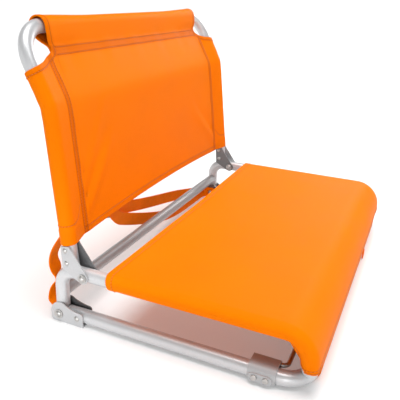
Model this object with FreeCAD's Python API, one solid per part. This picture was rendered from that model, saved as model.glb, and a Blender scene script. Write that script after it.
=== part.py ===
"""Folding stadium seat: a tube frame with laced and sleeved covers, a backrest that folds
forward on two riveted hinges, and two wire hooks that swing down under a bench plank.

Millimetres. +Z is up, the sitter faces -Y, and the sitter's left is +X. The origin is on the
bench, under the middle of the seat's box.
"""
import FreeCAD
import Part
import math
import os

# Frame tubes
tube_diameter = 16.0
tube_wall = 1.2
rail_spacing = 455.0
front_bar_reach = 286.0
base_bend_radius = 26.0
base_rail_gap = 0.5
weld_gap = 0.05

# Seat side tubes
seat_rise = 54.5
rear_bend_radius = 20.0
front_bend_radius = 28.0
front_leg_lead = 2.0
front_knee_drop = 7.0
front_knee_radius = 15.0
front_foot_setback = 0.5
front_foot_inset = 20.5
front_foot_height = 2.0

# Rear cross-bar
cross_bar_diameter = 15.0
cross_bar_rise = 25.3

# Sheet metal of the lower brackets and hook clamps
sheet = 1.6
sheet_gap = 0.2
bracket_front = 33.0
bracket_web_rear = 12.0
bracket_dome_radius = 12.5
bracket_dome_back = 2.0
bracket_dome_rise = 2.5
bracket_dome_turn = 125.0
bracket_heel_radius = 4.0
bracket_nose_height = 7.5
bracket_nose_radius = 4.0
bracket_waist_back = 21.0
bracket_waist_rise = 8.6
rail_rivet_reach = 24.8

# Leg plugs
plug_line = 14.0
plug_spigot = 12.0
plug_gap = 0.1
plug_flange = 1.2
foot_chamfer = 1.0

# Rivets, washers and screws
lower_shank = 6.0
lower_head = 8.0
lower_washer = 11.4
rail_shank = 4.0
rail_head = 7.0
hinge_shank = 4.0
hinge_head = 6.2
pivot_shank = 6.0
pivot_head = 8.0
pivot_washer = 10.6
washer_thickness = 1.0
dome_ratio = 0.28
hole_gap = 0.05
head_gap = 0.05

# Hinge and back frame
hinge_reach = 34.9
hinge_offset = 18.6
hinge_plate = 1.6
hinge_gap = 0.3
hinge_lobe_radius = 6.9
hinge_plate_top = 36.2
hinge_plate_front = 5.8
hinge_plate_rear = 5.2
hinge_plate_heel = 8.6
hinge_plate_heel_rear = 6.2
hinge_rivet_low = 16.0
hinge_rivet_high = 31.2
back_lean = 6.3
back_bend = 21.0
back_bend_radius = 60.0
back_lower_length = 189.0
back_upper_length = 87.0
back_corner_radius = 40.0
stop_gap = 0.5

# Fabric covers
fabric = 1.2
fabric_gap = 0.1
seat_rear_edge = 62.5
lace_gap = 56.0
flap_overhang = 14.0
corner_cut_margin = 1.0
corner_cut_height = 20.0
corner_sleeve_length = 15.0
hem_wrap = 100.0
back_hem_gap = 1.0
back_hem_arch = 5.5
back_hem_half = 190.0
back_sleeve_stop = 47.0
top_sleeve_half = 186.0
notch_radius = 26.0
notch_out = 206.0
notch_drop = 22.0

# Lacing
eyelet_spacing = 92.0
eyelet_outer = 9.0
eyelet_inner = 5.0
eyelet_flange = 0.6
eyelet_gap = 0.1
lace_diameter = 2.2
lace_clear = 0.25
lace_turn = 1.5
lace_edge_gap = 2.5
lace_end = 6.0
rear_lace_inset = 25.0
first_lace_inset = 76.5
lace_front_margin = 5.0
lace_rows = 6

# Front tab
tab_side = 96.0
tab_width = 12.0
tab_thickness = 1.6
tab_top = 2.5
tab_bottom = -9.2
tab_gap = 0.3

# Hook clamps and wire hooks
clamp_setback = 28.0
clamp_length = 29.0
clamp_pad_length = 24.5
clamp_pad_height = 9.0
clamp_pad_depth = 1.4
clamp_pad_drop = 1.2
screw_spacing = 12.1
screw_shank = 3.8
screw_head = 6.4
screw_bite = 2.0
screw_edge_ratio = 0.6
wire_diameter = 5.0
wire_fit = 0.06
wire_side = 11.4
wire_rise = 5.3
wire_lead = 6.5
wire_inset = 2.0
wire_arm = 62.0
wire_hook = 56.0
wire_bend_radius = 6.0
tip_length = 24.0
tip_wall = 1.4
tip_gap = 0.05
tip_edge_ratio = 0.9

# Carry strap
strap_width = 18.0
strap_thickness = 1.4
strap_gap = 0.1
strap_rise = 0.3
slider_length = 24.0
slider_width = 26.0
slider_bar = 3.0
slider_depth = 2.2
slider_gap = 0.4

# Derived places
tube = tube_diameter / 2.0
bore = tube - tube_wall
half = rail_spacing / 2.0
base_z = sheet + sheet_gap + tube
rail_z = base_z + seat_rise
bar_z = base_z + cross_bar_rise
plate_inner = tube + sheet_gap
plate_outer = plate_inner + sheet
hinge_inner = tube + hinge_gap
hinge_outer = hinge_inner + hinge_plate
sleeve_in = tube + fabric_gap
sleeve_out = sleeve_in + fabric
lean = math.radians(back_lean)
upper_lean = math.radians(back_lean + back_bend)
bend_half = math.radians(back_bend / 2.0)
front_leg_reach = front_bar_reach + front_leg_lead
front_foot_reach = front_bar_reach - front_foot_setback
front_fold = front_leg_reach - front_bend_radius
flap_front = front_fold + flap_overhang
corner_cut_inset = base_bend_radius + corner_cut_margin
clamp_rear = front_bar_reach - clamp_setback - clamp_length
back_hem_reach = hinge_plate_top + back_hem_gap
upright_end = (tube + stop_gap + hinge_offset * math.sin(lean)) / math.cos(lean) + plug_flange

X = FreeCAD.Vector(1, 0, 0)
Y = FreeCAD.Vector(0, 1, 0)
Z = FreeCAD.Vector(0, 0, 1)
parts = {}


def point(x, y, z):
    return FreeCAD.Vector(x, y, z)


def unit(v):
    return v * (1.0 / v.Length)


def mirrored(shape):
    return shape.mirror(point(0, 0, 0), X)


def both_sides(name, shape):
    """A piece on the sitter's left and its mirror image on the right."""
    parts[name + "_left"] = shape
    parts[name + "_right"] = mirrored(shape)


def rounded_path(points, radii):
    """Straight runs joined by tangent arcs, one radius for each inner point."""
    edges = []
    start = points[0]
    for i in range(1, len(points) - 1):
        before = unit(points[i] - points[i - 1])
        after = unit(points[i + 1] - points[i])
        turn = before.getAngle(after)
        reach = radii[i - 1] * math.tan(turn / 2.0)
        first = points[i] - before * reach
        last = points[i] + after * reach
        inward = unit(after - before)
        middle = points[i] + inward * (radii[i - 1] / math.cos(turn / 2.0) - radii[i - 1])
        edges.append(Part.LineSegment(start, first).toShape())
        edges.append(Part.Arc(first, middle, last).toShape())
        start = last
    edges.append(Part.LineSegment(start, points[-1]).toShape())
    return Part.Wire(edges)


def rod(points, radii, radius):
    """A round bar along a rounded path."""
    path = rounded_path(points, radii)
    ring = Part.Wire([Part.makeCircle(radius, points[0], unit(points[1] - points[0]))])
    return path.makePipeShell([ring], True, False)


def pipe(points, radii, outer=tube, inner=bore):
    """A hollow tube along a rounded path."""
    return rod(points, radii, outer).cut(rod(points, radii, inner))


def bar(start, end, radius):
    return Part.makeCylinder(radius, (end - start).Length, start, unit(end - start))


def cross_hole(diameter, y, z):
    """A long bar along X, to cut one hole right through a side of the seat."""
    reach = half + tube_diameter * 2
    return bar(point(0, y, z), point(reach, y, z), diameter / 2.0 + hole_gap)


def dome_head(x, y, z, head, hand):
    """A round-topped rivet head on a flat seat at x, rising along +X or -X."""
    rise = head * dome_ratio
    reach = head / 2.0
    radius = (reach ** 2 + rise ** 2) / (2.0 * rise)
    ball = Part.makeSphere(radius, point(x + hand * (rise - radius), y, z))
    return ball.common(bar(point(x, y, z), point(x + hand * 2 * rise, y, z), reach))


def rivet(y, z, inner, outer, shank, head):
    """A dome-headed rivet along X, its heads seated at two distances from the rail's axis."""
    low = half - inner - head_gap
    high = half + outer + head_gap
    pin = bar(point(low, y, z), point(high, y, z), shank / 2.0)
    return pin.fuse([dome_head(low, y, z, head, -1), dome_head(high, y, z, head, 1)])


def washer(start, y, z, outer, shank):
    end = start + washer_thickness
    ring = bar(point(start, y, z), point(end, y, z), outer / 2.0)
    return ring.cut(bar(point(start, y, z), point(end, y, z), shank / 2.0 + hole_gap))


def group(*shapes):
    return Part.makeCompound(list(shapes))


def polyline(points):
    return [Part.LineSegment(a, b).toShape() for a, b in zip(points, points[1:])]


# Base frame: side rails and front bar in one bent tube
def make_base_frame():
    rear = tube + base_rail_gap
    corners = [point(half, -rear, base_z), point(half, -front_bar_reach, base_z),
               point(-half, -front_bar_reach, base_z), point(-half, -rear, base_z)]
    radii = [base_bend_radius, base_bend_radius]
    frame = pipe(corners, radii)
    holes = [cross_hole(rail_shank, -rail_rivet_reach, base_z)]
    pad_z = base_z - clamp_pad_drop
    screw_hole = screw_shank / 2.0 + hole_gap
    for y in screw_rows():
        holes.append(bar(point(half, y, pad_z), point(half + tube_diameter, y, pad_z), screw_hole))
    for hole in holes:
        frame = frame.cut(hole).cut(mirrored(hole))
    parts["base_frame"] = frame
    return rod(corners, radii, tube + weld_gap)


def screw_rows():
    middle = -(clamp_rear + clamp_length / 2.0) + (clamp_length - clamp_pad_length) / 2.0 - sheet
    return [middle + screw_spacing / 2.0, middle - screw_spacing / 2.0]


# Seat side tubes: rear leg, seat rail and front leg
def make_side_tubes(base_envelope):
    corners = [point(half, 0, base_z + plug_line), point(half, 0, rail_z),
               point(half, -front_leg_reach, rail_z),
               point(half, -front_leg_reach, rail_z - front_bend_radius - front_knee_drop),
               point(half - front_foot_inset, -front_foot_reach, base_z + front_foot_height)]
    side = pipe(corners, [rear_bend_radius, front_bend_radius, front_knee_radius])
    side = side.cut(base_envelope)
    side = side.cut(cross_hole(pivot_shank, -hinge_reach, rail_z))
    both_sides("seat_side_tube", side)


# Rear cross-bar, shaped to the legs at both ends
def make_cross_bar():
    radius = cross_bar_diameter / 2.0
    reach = half - tube / 2.0
    cross = bar(point(-reach, 0, bar_z), point(reach, 0, bar_z), radius)
    cross = cross.cut(bar(point(-half, 0, bar_z), point(half, 0, bar_z), radius - tube_wall))
    leg = bar(point(half, 0, base_z), point(half, 0, rail_z), tube + weld_gap)
    parts["rear_cross_bar"] = cross.cut(leg).cut(mirrored(leg))


# Lower brackets: folded channels round the leg plug and the base rail
def make_lower_brackets():
    low = 0.0
    centre_y = -bracket_dome_back
    centre_z = base_z + bracket_dome_rise
    rear = centre_y + bracket_dome_radius
    turn = math.radians(bracket_dome_turn)

    def dome(angle):
        return point(0, centre_y + bracket_dome_radius * math.cos(angle),
                     centre_z + bracket_dome_radius * math.sin(angle))

    nose_z = base_z + bracket_nose_height
    nose = bracket_nose_radius
    heel = bracket_heel_radius
    slant = math.sqrt(0.5)
    dome_end = dome(turn)
    nose_top = point(0, -bracket_front + nose, nose_z)
    edges = polyline([point(0, -bracket_front, low), point(0, rear - heel, low)])
    edges.append(Part.Arc(point(0, rear - heel, low),
                          point(0, rear - heel + heel * slant, low + heel - heel * slant),
                          point(0, rear, low + heel)).toShape())
    edges += polyline([point(0, rear, low + heel), dome(0.0)])
    edges.append(Part.Arc(dome(0.0), dome(turn / 2.0), dome_end).toShape())
    edges.append(Part.Arc(dome_end, point(0, -bracket_waist_back, base_z + bracket_waist_rise),
                          nose_top).toShape())
    edges.append(Part.Arc(nose_top,
                          point(0, -bracket_front + nose - nose * slant, nose_z - nose + nose * slant),
                          point(0, -bracket_front, nose_z - nose)).toShape())
    edges += polyline([point(0, -bracket_front, nose_z - nose), point(0, -bracket_front, low)])
    face = Part.Face(Part.Wire(edges))
    outer = face.extrude(X * sheet)
    outer.translate(X * (half + plate_inner))
    inner = face.extrude(X * sheet)
    inner.translate(X * (half - plate_outer))
    web = Part.makeBox(2 * plate_outer, bracket_front - bracket_web_rear, sheet,
                       point(half - plate_outer, -bracket_front, low))
    bracket = outer.fuse([inner, web]).removeSplitter()
    bracket = bracket.cut(cross_hole(lower_shank, 0, base_z))
    bracket = bracket.cut(cross_hole(rail_shank, -rail_rivet_reach, base_z))
    both_sides("lower_bracket", bracket)


# Leg plugs: the closed lower end of each rear leg
def make_leg_plugs():
    top = base_z + plug_line
    plug = bar(point(half, 0, 0), point(half, 0, top), tube)
    plug = plug.makeChamfer(foot_chamfer, [e for e in plug.Edges if e.BoundBox.ZMax < foot_chamfer / 2.0])
    plug = plug.fuse(bar(point(half, 0, top), point(half, 0, top + plug_spigot), bore - plug_gap))
    both_sides("leg_plug", plug.cut(cross_hole(lower_shank, 0, base_z)))


# Fasteners of the lower brackets
def make_lower_fasteners():
    layers = 2 * (strap_thickness + strap_gap) + strap_gap
    big = rivet(0, base_z, plate_outer + layers, plate_outer + washer_thickness + head_gap,
                lower_shank, lower_head)
    parts["lower_rivets"] = group(big, mirrored(big))
    ring = washer(half + plate_outer + head_gap, 0, base_z, lower_washer, lower_shank)
    parts["lower_washers"] = group(ring, mirrored(ring))
    small = rivet(-rail_rivet_reach, base_z, plate_outer, plate_outer, rail_shank, rail_head)
    parts["rail_rivets"] = group(small, mirrored(small))


# Back frame places, in the plane of one side
pivot = point(0, -hinge_reach, rail_z)
lower_along = point(0, math.sin(lean), math.cos(lean))
lower_across = point(0, math.cos(lean), -math.sin(lean))
upper_along = point(0, math.sin(upper_lean), math.cos(upper_lean))
upper_across = point(0, math.cos(upper_lean), -math.sin(upper_lean))
foot_line = pivot + lower_across * hinge_offset
back_knee = foot_line + lower_along * back_lower_length
back_top = back_knee + upper_along * back_upper_length


def on_upright(reach, across=0.0):
    return foot_line + lower_along * reach + lower_across * across


def make_back_frame():
    start = on_upright(upright_end)
    corners = [start + X * half, back_knee + X * half, back_top + X * half,
               back_top - X * half, back_knee - X * half, start - X * half]
    frame = pipe(corners, [back_bend_radius, back_corner_radius, back_corner_radius, back_bend_radius])
    for reach in (hinge_rivet_low, hinge_rivet_high):
        place = on_upright(reach)
        hole = cross_hole(hinge_shank, place.y, place.z)
        frame = frame.cut(hole).cut(mirrored(hole))
    parts["back_frame"] = frame


def make_upright_plugs():
    end = on_upright(upright_end) + X * half
    plug = bar(end - lower_along * plug_flange, end, tube)
    plug = plug.fuse(bar(end, end + lower_along * plug_spigot, bore - plug_gap))
    place = on_upright(hinge_rivet_low)
    both_sides("upright_plug", plug.cut(cross_hole(hinge_shank, place.y, place.z)))


# Hinge plates: a rounded triangle from the upright to the pivot
def tangent_point(outside, side):
    away = outside - pivot
    turn = side * math.acos(hinge_lobe_radius / away.Length)
    angle = math.atan2(away.z, away.y) + turn
    return pivot + point(0, hinge_lobe_radius * math.cos(angle), hinge_lobe_radius * math.sin(angle))


def make_hinge_plates():
    top_rear = on_upright(hinge_plate_top, hinge_plate_rear)
    top_front = on_upright(hinge_plate_top, -hinge_plate_front)
    heel = on_upright(hinge_plate_heel, hinge_plate_heel_rear)
    lobe_front = tangent_point(top_front, 1)
    lobe_rear = tangent_point(heel, -1)
    far_side = pivot - unit(on_upright(hinge_plate_top) - pivot) * hinge_lobe_radius
    edges = polyline([lobe_rear, heel, top_rear, top_front, lobe_front])
    edges.append(Part.Arc(lobe_front, far_side, lobe_rear).toShape())
    face = Part.Face(Part.Wire(edges))
    plate = face.extrude(X * hinge_plate)
    plate.translate(X * (half + hinge_inner))
    opposite = face.extrude(X * hinge_plate)
    opposite.translate(X * (half - hinge_outer))
    holes = [cross_hole(pivot_shank, pivot.y, pivot.z)]
    for reach in (hinge_rivet_low, hinge_rivet_high):
        place = on_upright(reach)
        holes.append(cross_hole(hinge_shank, place.y, place.z))
    for hole in holes:
        plate = plate.cut(hole)
        opposite = opposite.cut(hole)
    both_sides("hinge_plate_outer", plate)
    both_sides("hinge_plate_inner", opposite)


def make_hinge_fasteners():
    rivets = []
    for reach in (hinge_rivet_low, hinge_rivet_high):
        place = on_upright(reach)
        one = rivet(place.y, place.z, hinge_outer, hinge_outer, hinge_shank, hinge_head)
        rivets += [one, mirrored(one)]
    parts["hinge_rivets"] = group(*rivets)
    seat = hinge_outer + hinge_gap
    pin = rivet(pivot.y, pivot.z, seat + washer_thickness, seat + washer_thickness, pivot_shank, pivot_head)
    parts["hinge_pivots"] = group(pin, mirrored(pin))
    rings = [washer(half + seat, pivot.y, pivot.z, pivot_washer, pivot_shank),
             washer(half - seat - washer_thickness, pivot.y, pivot.z, pivot_washer, pivot_shank)]
    parts["hinge_washers"] = group(*rings, *[mirrored(r) for r in rings])


# Back cover: a doubled panel with a sleeve along each upright and along the top bar
def sleeve_section(origin, across):
    """Both side sleeves and the panel between them, cut square to the uprights."""
    thick = fabric
    run = half - math.sqrt(sleeve_out ** 2 - thick ** 2)

    def place(u, v):
        return origin + X * u + across * v

    outline = [
        Part.LineSegment(place(-run, thick), place(run, thick)).toShape(),
        Part.Arc(place(run, thick), place(half + sleeve_out, 0), place(run, -thick)).toShape(),
        Part.LineSegment(place(run, -thick), place(-run, -thick)).toShape(),
        Part.Arc(place(-run, -thick), place(-half - sleeve_out, 0), place(-run, thick)).toShape(),
    ]
    along = X.cross(across)
    holes = [Part.Wire([Part.makeCircle(sleeve_in, place(u, 0), along)]) for u in (-half, half)]
    return Part.makeFace([Part.Wire(outline)] + holes, "Part::FaceMakerBullseye")


def make_back_cover():
    bend_reach = back_bend_radius * math.tan(bend_half)
    hem = on_upright(back_hem_reach)
    bend_start = back_knee - lower_along * bend_reach
    bend_end = back_knee + upper_along * bend_reach
    sleeve_end = back_top - upper_along * back_sleeve_stop
    centre = bend_start + lower_across * back_bend_radius
    lower = sleeve_section(hem, lower_across).extrude(bend_start - hem)
    knee = sleeve_section(bend_start, lower_across).revolve(centre, X, -back_bend)
    upper = sleeve_section(bend_end, upper_across).extrude(sleeve_end - bend_end)
    corner = sleeve_end - X * top_sleeve_half - upper_across * fabric
    sheet_edges = polyline([corner, corner + X * 2 * top_sleeve_half,
                            corner + X * 2 * top_sleeve_half + upper_across * 2 * fabric,
                            corner + upper_across * 2 * fabric, corner])
    panel = Part.Face(Part.Wire(sheet_edges)).extrude(upper_along * back_sleeve_stop)
    side = X * top_sleeve_half
    sleeve = bar(back_top - side, back_top + side, sleeve_out)
    cover = lower.fuse([knee, upper, panel, sleeve]).removeSplitter()
    cover = cover.cut(bar(back_top - X * half, back_top + X * half, sleeve_in))
    for x in (-notch_out, notch_out):
        middle = back_top - upper_along * notch_drop + X * x
        deep = upper_across * sleeve_out * 2
        cover = cover.cut(bar(middle - deep, middle + deep, notch_radius))
    arch = [Part.Arc(hem - X * back_hem_half, hem + lower_along * back_hem_arch,
                     hem + X * back_hem_half).toShape()]
    arch += polyline([hem + X * back_hem_half, hem - X * back_hem_half])
    cut = Part.Face(Part.Wire(arch)).extrude(lower_across * 4 * fabric)
    cut.translate(lower_across * -2 * fabric)
    parts["back_cover"] = cover.cut(cut)


# Seat cover: wraps both rails, open along the lacing, with a skirt down to the front bar
def lace_row_places():
    first = seat_rear_edge + first_lace_inset
    step = (flap_front - lace_front_margin - first) / (lace_rows - 1)
    return [-(seat_rear_edge + rear_lace_inset)] + [-(first + i * step) for i in range(lace_rows)]


def make_seat_cover():
    start = -seat_rear_edge
    bend = -front_fold
    gap = lace_gap / 2.0

    def place(x, z):
        return point(x, start, rail_z + z)

    def round_rail(side, radius):
        first = place(side * half, -side * radius)
        last = place(side * half, side * radius)
        return Part.Arc(first, place(side * (half + radius), 0), last).toShape()

    outline = polyline([place(gap, -sleeve_in), place(gap, -sleeve_out), place(half, -sleeve_out)])
    outline.append(round_rail(1, sleeve_out))
    outline += polyline([place(half, sleeve_out), place(-half, sleeve_out)])
    outline.append(round_rail(-1, sleeve_out))
    outline += polyline([place(-half, -sleeve_out), place(-gap, -sleeve_out)])
    outline += polyline([place(-gap, -sleeve_out), place(-gap, -sleeve_in), place(-half, -sleeve_in)])
    outline.append(round_rail(-1, sleeve_in))
    outline += polyline([place(-half, sleeve_in), place(half, sleeve_in)])
    outline.append(round_rail(1, sleeve_in))
    outline += polyline([place(half, -sleeve_in), place(gap, -sleeve_in)])
    cover = Part.Face(Part.Wire(outline)).extrude(Y * (bend - start))

    flap_side = half - corner_cut_inset - gap
    flap_low = rail_z - sleeve_out
    flap = Part.makeBox(flap_side, flap_front + bend, fabric, point(gap, -flap_front, flap_low))

    corner = make_corner_sleeve(bend)
    pieces = [flap, mirrored(flap), make_skirt(bend), corner, mirrored(corner)]
    cover = cover.fuse(pieces).removeSplitter()
    hole = eyelet_outer / 2.0 - 2 * eyelet_flange + eyelet_gap
    for x in (-eyelet_spacing / 2.0, eyelet_spacing / 2.0):
        for y in lace_row_places():
            cover = cover.cut(bar(point(x, y, flap_low - fabric), point(x, y, rail_z), hole))
    parts["seat_cover"] = cover


def make_corner_sleeve(bend):
    """The cover's side over a front bend and the top of the front leg."""
    centre = point(0, bend, rail_z - front_bend_radius)

    def place(x, z):
        return point(half + x, bend, rail_z + z)

    edges = [Part.Arc(place(0, sleeve_out), place(sleeve_out, 0), place(0, -sleeve_out)).toShape()]
    edges += polyline([place(0, -sleeve_out), place(0, -sleeve_in)])
    edges.append(Part.Arc(place(0, -sleeve_in), place(sleeve_in, 0), place(0, sleeve_in)).toShape())
    edges += polyline([place(0, sleeve_in), place(0, sleeve_out)])
    section = Part.Face(Part.Wire(edges))
    shoulder = section.revolve(centre, X, 90)
    section.rotate(centre, X, 90)
    return shoulder.fuse(section.extrude(Z * -corner_sleeve_length))


def make_skirt(bend):
    """The front waterfall, from the seat's top round the front bends to the hem under the front bar."""
    fold_z = rail_z - front_bend_radius
    wrap = math.radians(180.0 + hem_wrap)
    middle = math.radians(180.0 + hem_wrap / 2.0)
    slant = math.radians(135.0)
    reach = half

    def fold(radius, angle):
        return point(-reach, bend + radius * math.cos(angle), fold_z + radius * math.sin(angle))

    def hem(radius, angle):
        return point(-reach, -front_bar_reach + radius * math.cos(angle), base_z + radius * math.sin(angle))

    def drop(radius):
        return point(-reach, bend - radius, base_z + corner_cut_height)

    inner = front_bend_radius + sleeve_in
    outer = front_bend_radius + sleeve_out
    top = math.pi / 2.0
    front = math.pi
    edges = [Part.Arc(fold(outer, top), fold(outer, slant), fold(outer, front)).toShape()]
    edges += polyline([fold(outer, front), drop(outer), hem(sleeve_out, front)])
    edges.append(Part.Arc(hem(sleeve_out, front), hem(sleeve_out, middle), hem(sleeve_out, wrap)).toShape())
    edges += polyline([hem(sleeve_out, wrap), hem(sleeve_in, wrap)])
    edges.append(Part.Arc(hem(sleeve_in, wrap), hem(sleeve_in, middle), hem(sleeve_in, front)).toShape())
    edges += polyline([hem(sleeve_in, front), drop(inner), fold(inner, front)])
    edges.append(Part.Arc(fold(inner, front), fold(inner, slant), fold(inner, top)).toShape())
    edges += polyline([fold(inner, top), fold(outer, top)])
    skirt = Part.Face(Part.Wire(edges)).extrude(X * 2 * reach)
    corner = point(half - corner_cut_inset, -front_bar_reach - front_bend_radius, 0)
    cut = Part.makeBox(2 * corner_cut_inset, 2 * front_bend_radius, corner_cut_height + base_z, corner)
    return skirt.cut(cut).cut(mirrored(cut))


# Lacing under the seat
def make_lacing():
    flap_low = rail_z - sleeve_out
    flap_high = rail_z - sleeve_in
    side = eyelet_spacing / 2.0
    barrel = eyelet_outer / 2.0 - 2 * eyelet_flange
    rings = []
    for x in (-side, side):
        for y in lace_row_places():
            ring = bar(point(x, y, flap_low), point(x, y, flap_high), barrel)
            for z in (flap_low - eyelet_flange, flap_high):
                flange = bar(point(x, y, z), point(x, y, z + eyelet_flange), eyelet_outer / 2.0)
                ring = ring.fuse(flange)
            ring = ring.cut(bar(point(x, y, flap_low - fabric), point(x, y, rail_z), eyelet_inner / 2.0))
            rings.append(ring.removeSplitter())
    parts["lace_eyelets"] = group(*rings)

    lace = lace_diameter / 2.0
    clear = eyelet_flange + lace_clear + lace
    below = flap_low - clear
    above = flap_high + clear
    lower = below - lace_diameter - lace_clear
    edge = lace_gap / 2.0 - lace_edge_gap
    rows = lace_row_places()
    y = rows[0]
    rear = [point(-side - lace_end, y, above), point(-side, y, above), point(-side, y, below),
            point(side, y, below), point(side, y, above), point(side + lace_end, y, above)]
    make_lace("rear_lace", rear)
    first = strand(rows[1:], side, edge, above, below, -1)
    second = strand(rows[1:], side, edge, above, lower, 1)
    make_lace("seat_lace", first + second[::-1])


def strand(rows, side, edge, above, outside, hand):
    """One zigzag of the lacing: across below the flaps, round the far flap's edge, out of its eyelet."""
    route = [point(hand * (side + lace_end), rows[0], above), point(hand * side, rows[0], above),
             point(hand * side, rows[0], outside)]
    for near, far in zip(rows, rows[1:]):
        share = (side + edge) / (2.0 * side)
        dive = near + (far - near) * share
        route.append(point(-hand * edge, dive, outside))
        route.append(point(-hand * edge, dive, above))
        route.append(point(-hand * side, far, above))
        route.append(point(-hand * side, far, outside))
        hand = -hand
    return route


def make_lace(name, route):
    radii = [lace_turn] * (len(route) - 2)
    shape = rod(route, radii, lace_diameter / 2.0)
    length = rounded_path(route, radii).Length
    section = math.pi * lace_diameter ** 2 / 4.0
    share = shape.Volume / section / length
    print(name, "length", round(length, 1), "volume over section times length", round(share, 4))
    parts[name] = shape


# Front tab, sewn on the skirt's hem
def make_front_tab():
    face = -front_bar_reach - sleeve_out - tab_gap - tab_thickness
    parts["front_tab"] = Part.makeBox(tab_width, tab_thickness, tab_top - tab_bottom,
                                      point(tab_side - tab_width / 2.0, face, base_z + tab_bottom))


# Hook clamps: a band round the base rail and the hook's straight end
def belt(first, first_radius, second, second_radius):
    """The outline of a band pulled round two circles in the XZ plane."""
    away = second - first
    heading = math.atan2(away.z, away.x)
    spread = math.acos((first_radius - second_radius) / away.Length)

    def on(centre, radius, angle):
        return centre + point(radius * math.cos(angle), 0, radius * math.sin(angle))

    high = heading + spread
    low = heading - spread
    return Part.Wire([
        Part.LineSegment(on(first, first_radius, high), on(second, second_radius, high)).toShape(),
        Part.Arc(on(second, second_radius, high), on(second, second_radius, heading),
                 on(second, second_radius, low)).toShape(),
        Part.LineSegment(on(second, second_radius, low), on(first, first_radius, low)).toShape(),
        Part.Arc(on(first, first_radius, low), on(first, first_radius, heading + math.pi),
                 on(first, first_radius, high)).toShape(),
    ])


def make_hook_clamps():
    start = -clamp_rear
    rail = point(half, start, base_z)
    wire = point(half - wire_side, start, base_z + wire_rise)
    pocket = wire_diameter / 2.0 + wire_fit
    outside = belt(rail, plate_outer, wire, pocket + sheet)
    inside = belt(rail, plate_inner, wire, pocket)
    run = Y * -clamp_length
    clamp = Part.Face(outside).extrude(run)
    rows = screw_rows()
    pad_z = base_z - clamp_pad_drop
    radius = clamp_pad_height / 2.0
    middle = (rows[0] + rows[1]) / 2.0
    pad_run = clamp_pad_length / 2.0 - radius
    face_x = half + plate_outer + clamp_pad_depth
    pad_corner = point(half, middle - pad_run, pad_z - radius)
    pad = Part.makeBox(face_x - half, 2 * pad_run, clamp_pad_height, pad_corner)
    for y in (middle - pad_run, middle + pad_run):
        pad = pad.fuse(bar(point(half, y, pad_z), point(face_x, y, pad_z), radius))
    clamp = clamp.fuse(pad).removeSplitter().cut(Part.Face(inside).extrude(run))
    screws = []
    seat_x = face_x + head_gap
    shank_radius = screw_shank / 2.0
    for y in rows:
        seat = point(seat_x, y, pad_z)
        hole = bar(point(half, y, pad_z), seat, shank_radius + hole_gap)
        clamp = clamp.cut(hole)
        shank = bar(point(half + bore - screw_bite, y, pad_z), seat + X * (sheet / 2.0), shank_radius)
        head = bar(seat, seat + X * sheet, screw_head / 2.0)
        rim = [e for e in head.Edges if e.BoundBox.XMin > face_x + sheet]
        head = head.makeFillet(sheet * screw_edge_ratio, rim)
        screws.append(shank.fuse(head).removeSplitter())
    both_sides("hook_clamp", clamp)
    parts["clamp_screws"] = group(*screws, *[mirrored(s) for s in screws])


# Wire hooks: a straight end in the clamp, an arm across and a hook to the rear
def make_wire_hooks():
    radius = wire_diameter / 2.0
    x = half - wire_side
    z = base_z + wire_rise
    front = -(clamp_rear + clamp_length + wire_lead)
    route = [point(x, -(clamp_rear + wire_inset), z), point(x, front, z),
             point(x - wire_arm, front, z), point(x - wire_arm, front + wire_hook, z)]
    both_sides("hook_wire", rod(route, [wire_bend_radius] * 2, radius))
    end = route[-1]
    tip = bar(end - Y * (tip_length - tip_wall), end + Y * tip_wall, radius + tip_wall)
    tip = tip.makeFillet(tip_wall * tip_edge_ratio, [e for e in tip.Edges if e.BoundBox.YMin > end.y])
    tip = tip.cut(bar(end - Y * tip_length, end + Y * tip_gap, radius + tip_gap))
    both_sides("hook_tip", tip)


# Carry strap: flat webbing given as places and width directions along its route
def anchor(side, layer):
    """How far from the middle a layer of webbing lies on the inner face of a lower bracket."""
    inset = plate_outer + strap_gap + strap_thickness / 2.0 + layer * (strap_thickness + strap_gap)
    return side * (half - inset)


def webbing(stations, thickness):
    """A ruled loft through one flat rectangle at each station."""
    count = len(stations)
    sections = []
    for i, (place, wide) in enumerate(stations):
        along = unit(stations[min(i + 1, count - 1)][0] - stations[max(i - 1, 0)][0])
        thin = unit(along.cross(wide))
        width = unit(thin.cross(along)) * (strap_width / 2.0)
        depth = thin * (thickness / 2.0)
        ring = [place + width + depth, place + width - depth, place - width - depth, place - width + depth]
        sections.append(Part.Wire(polyline(ring + ring[:1])))
    return Part.makeLoft(sections, True, True)


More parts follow.
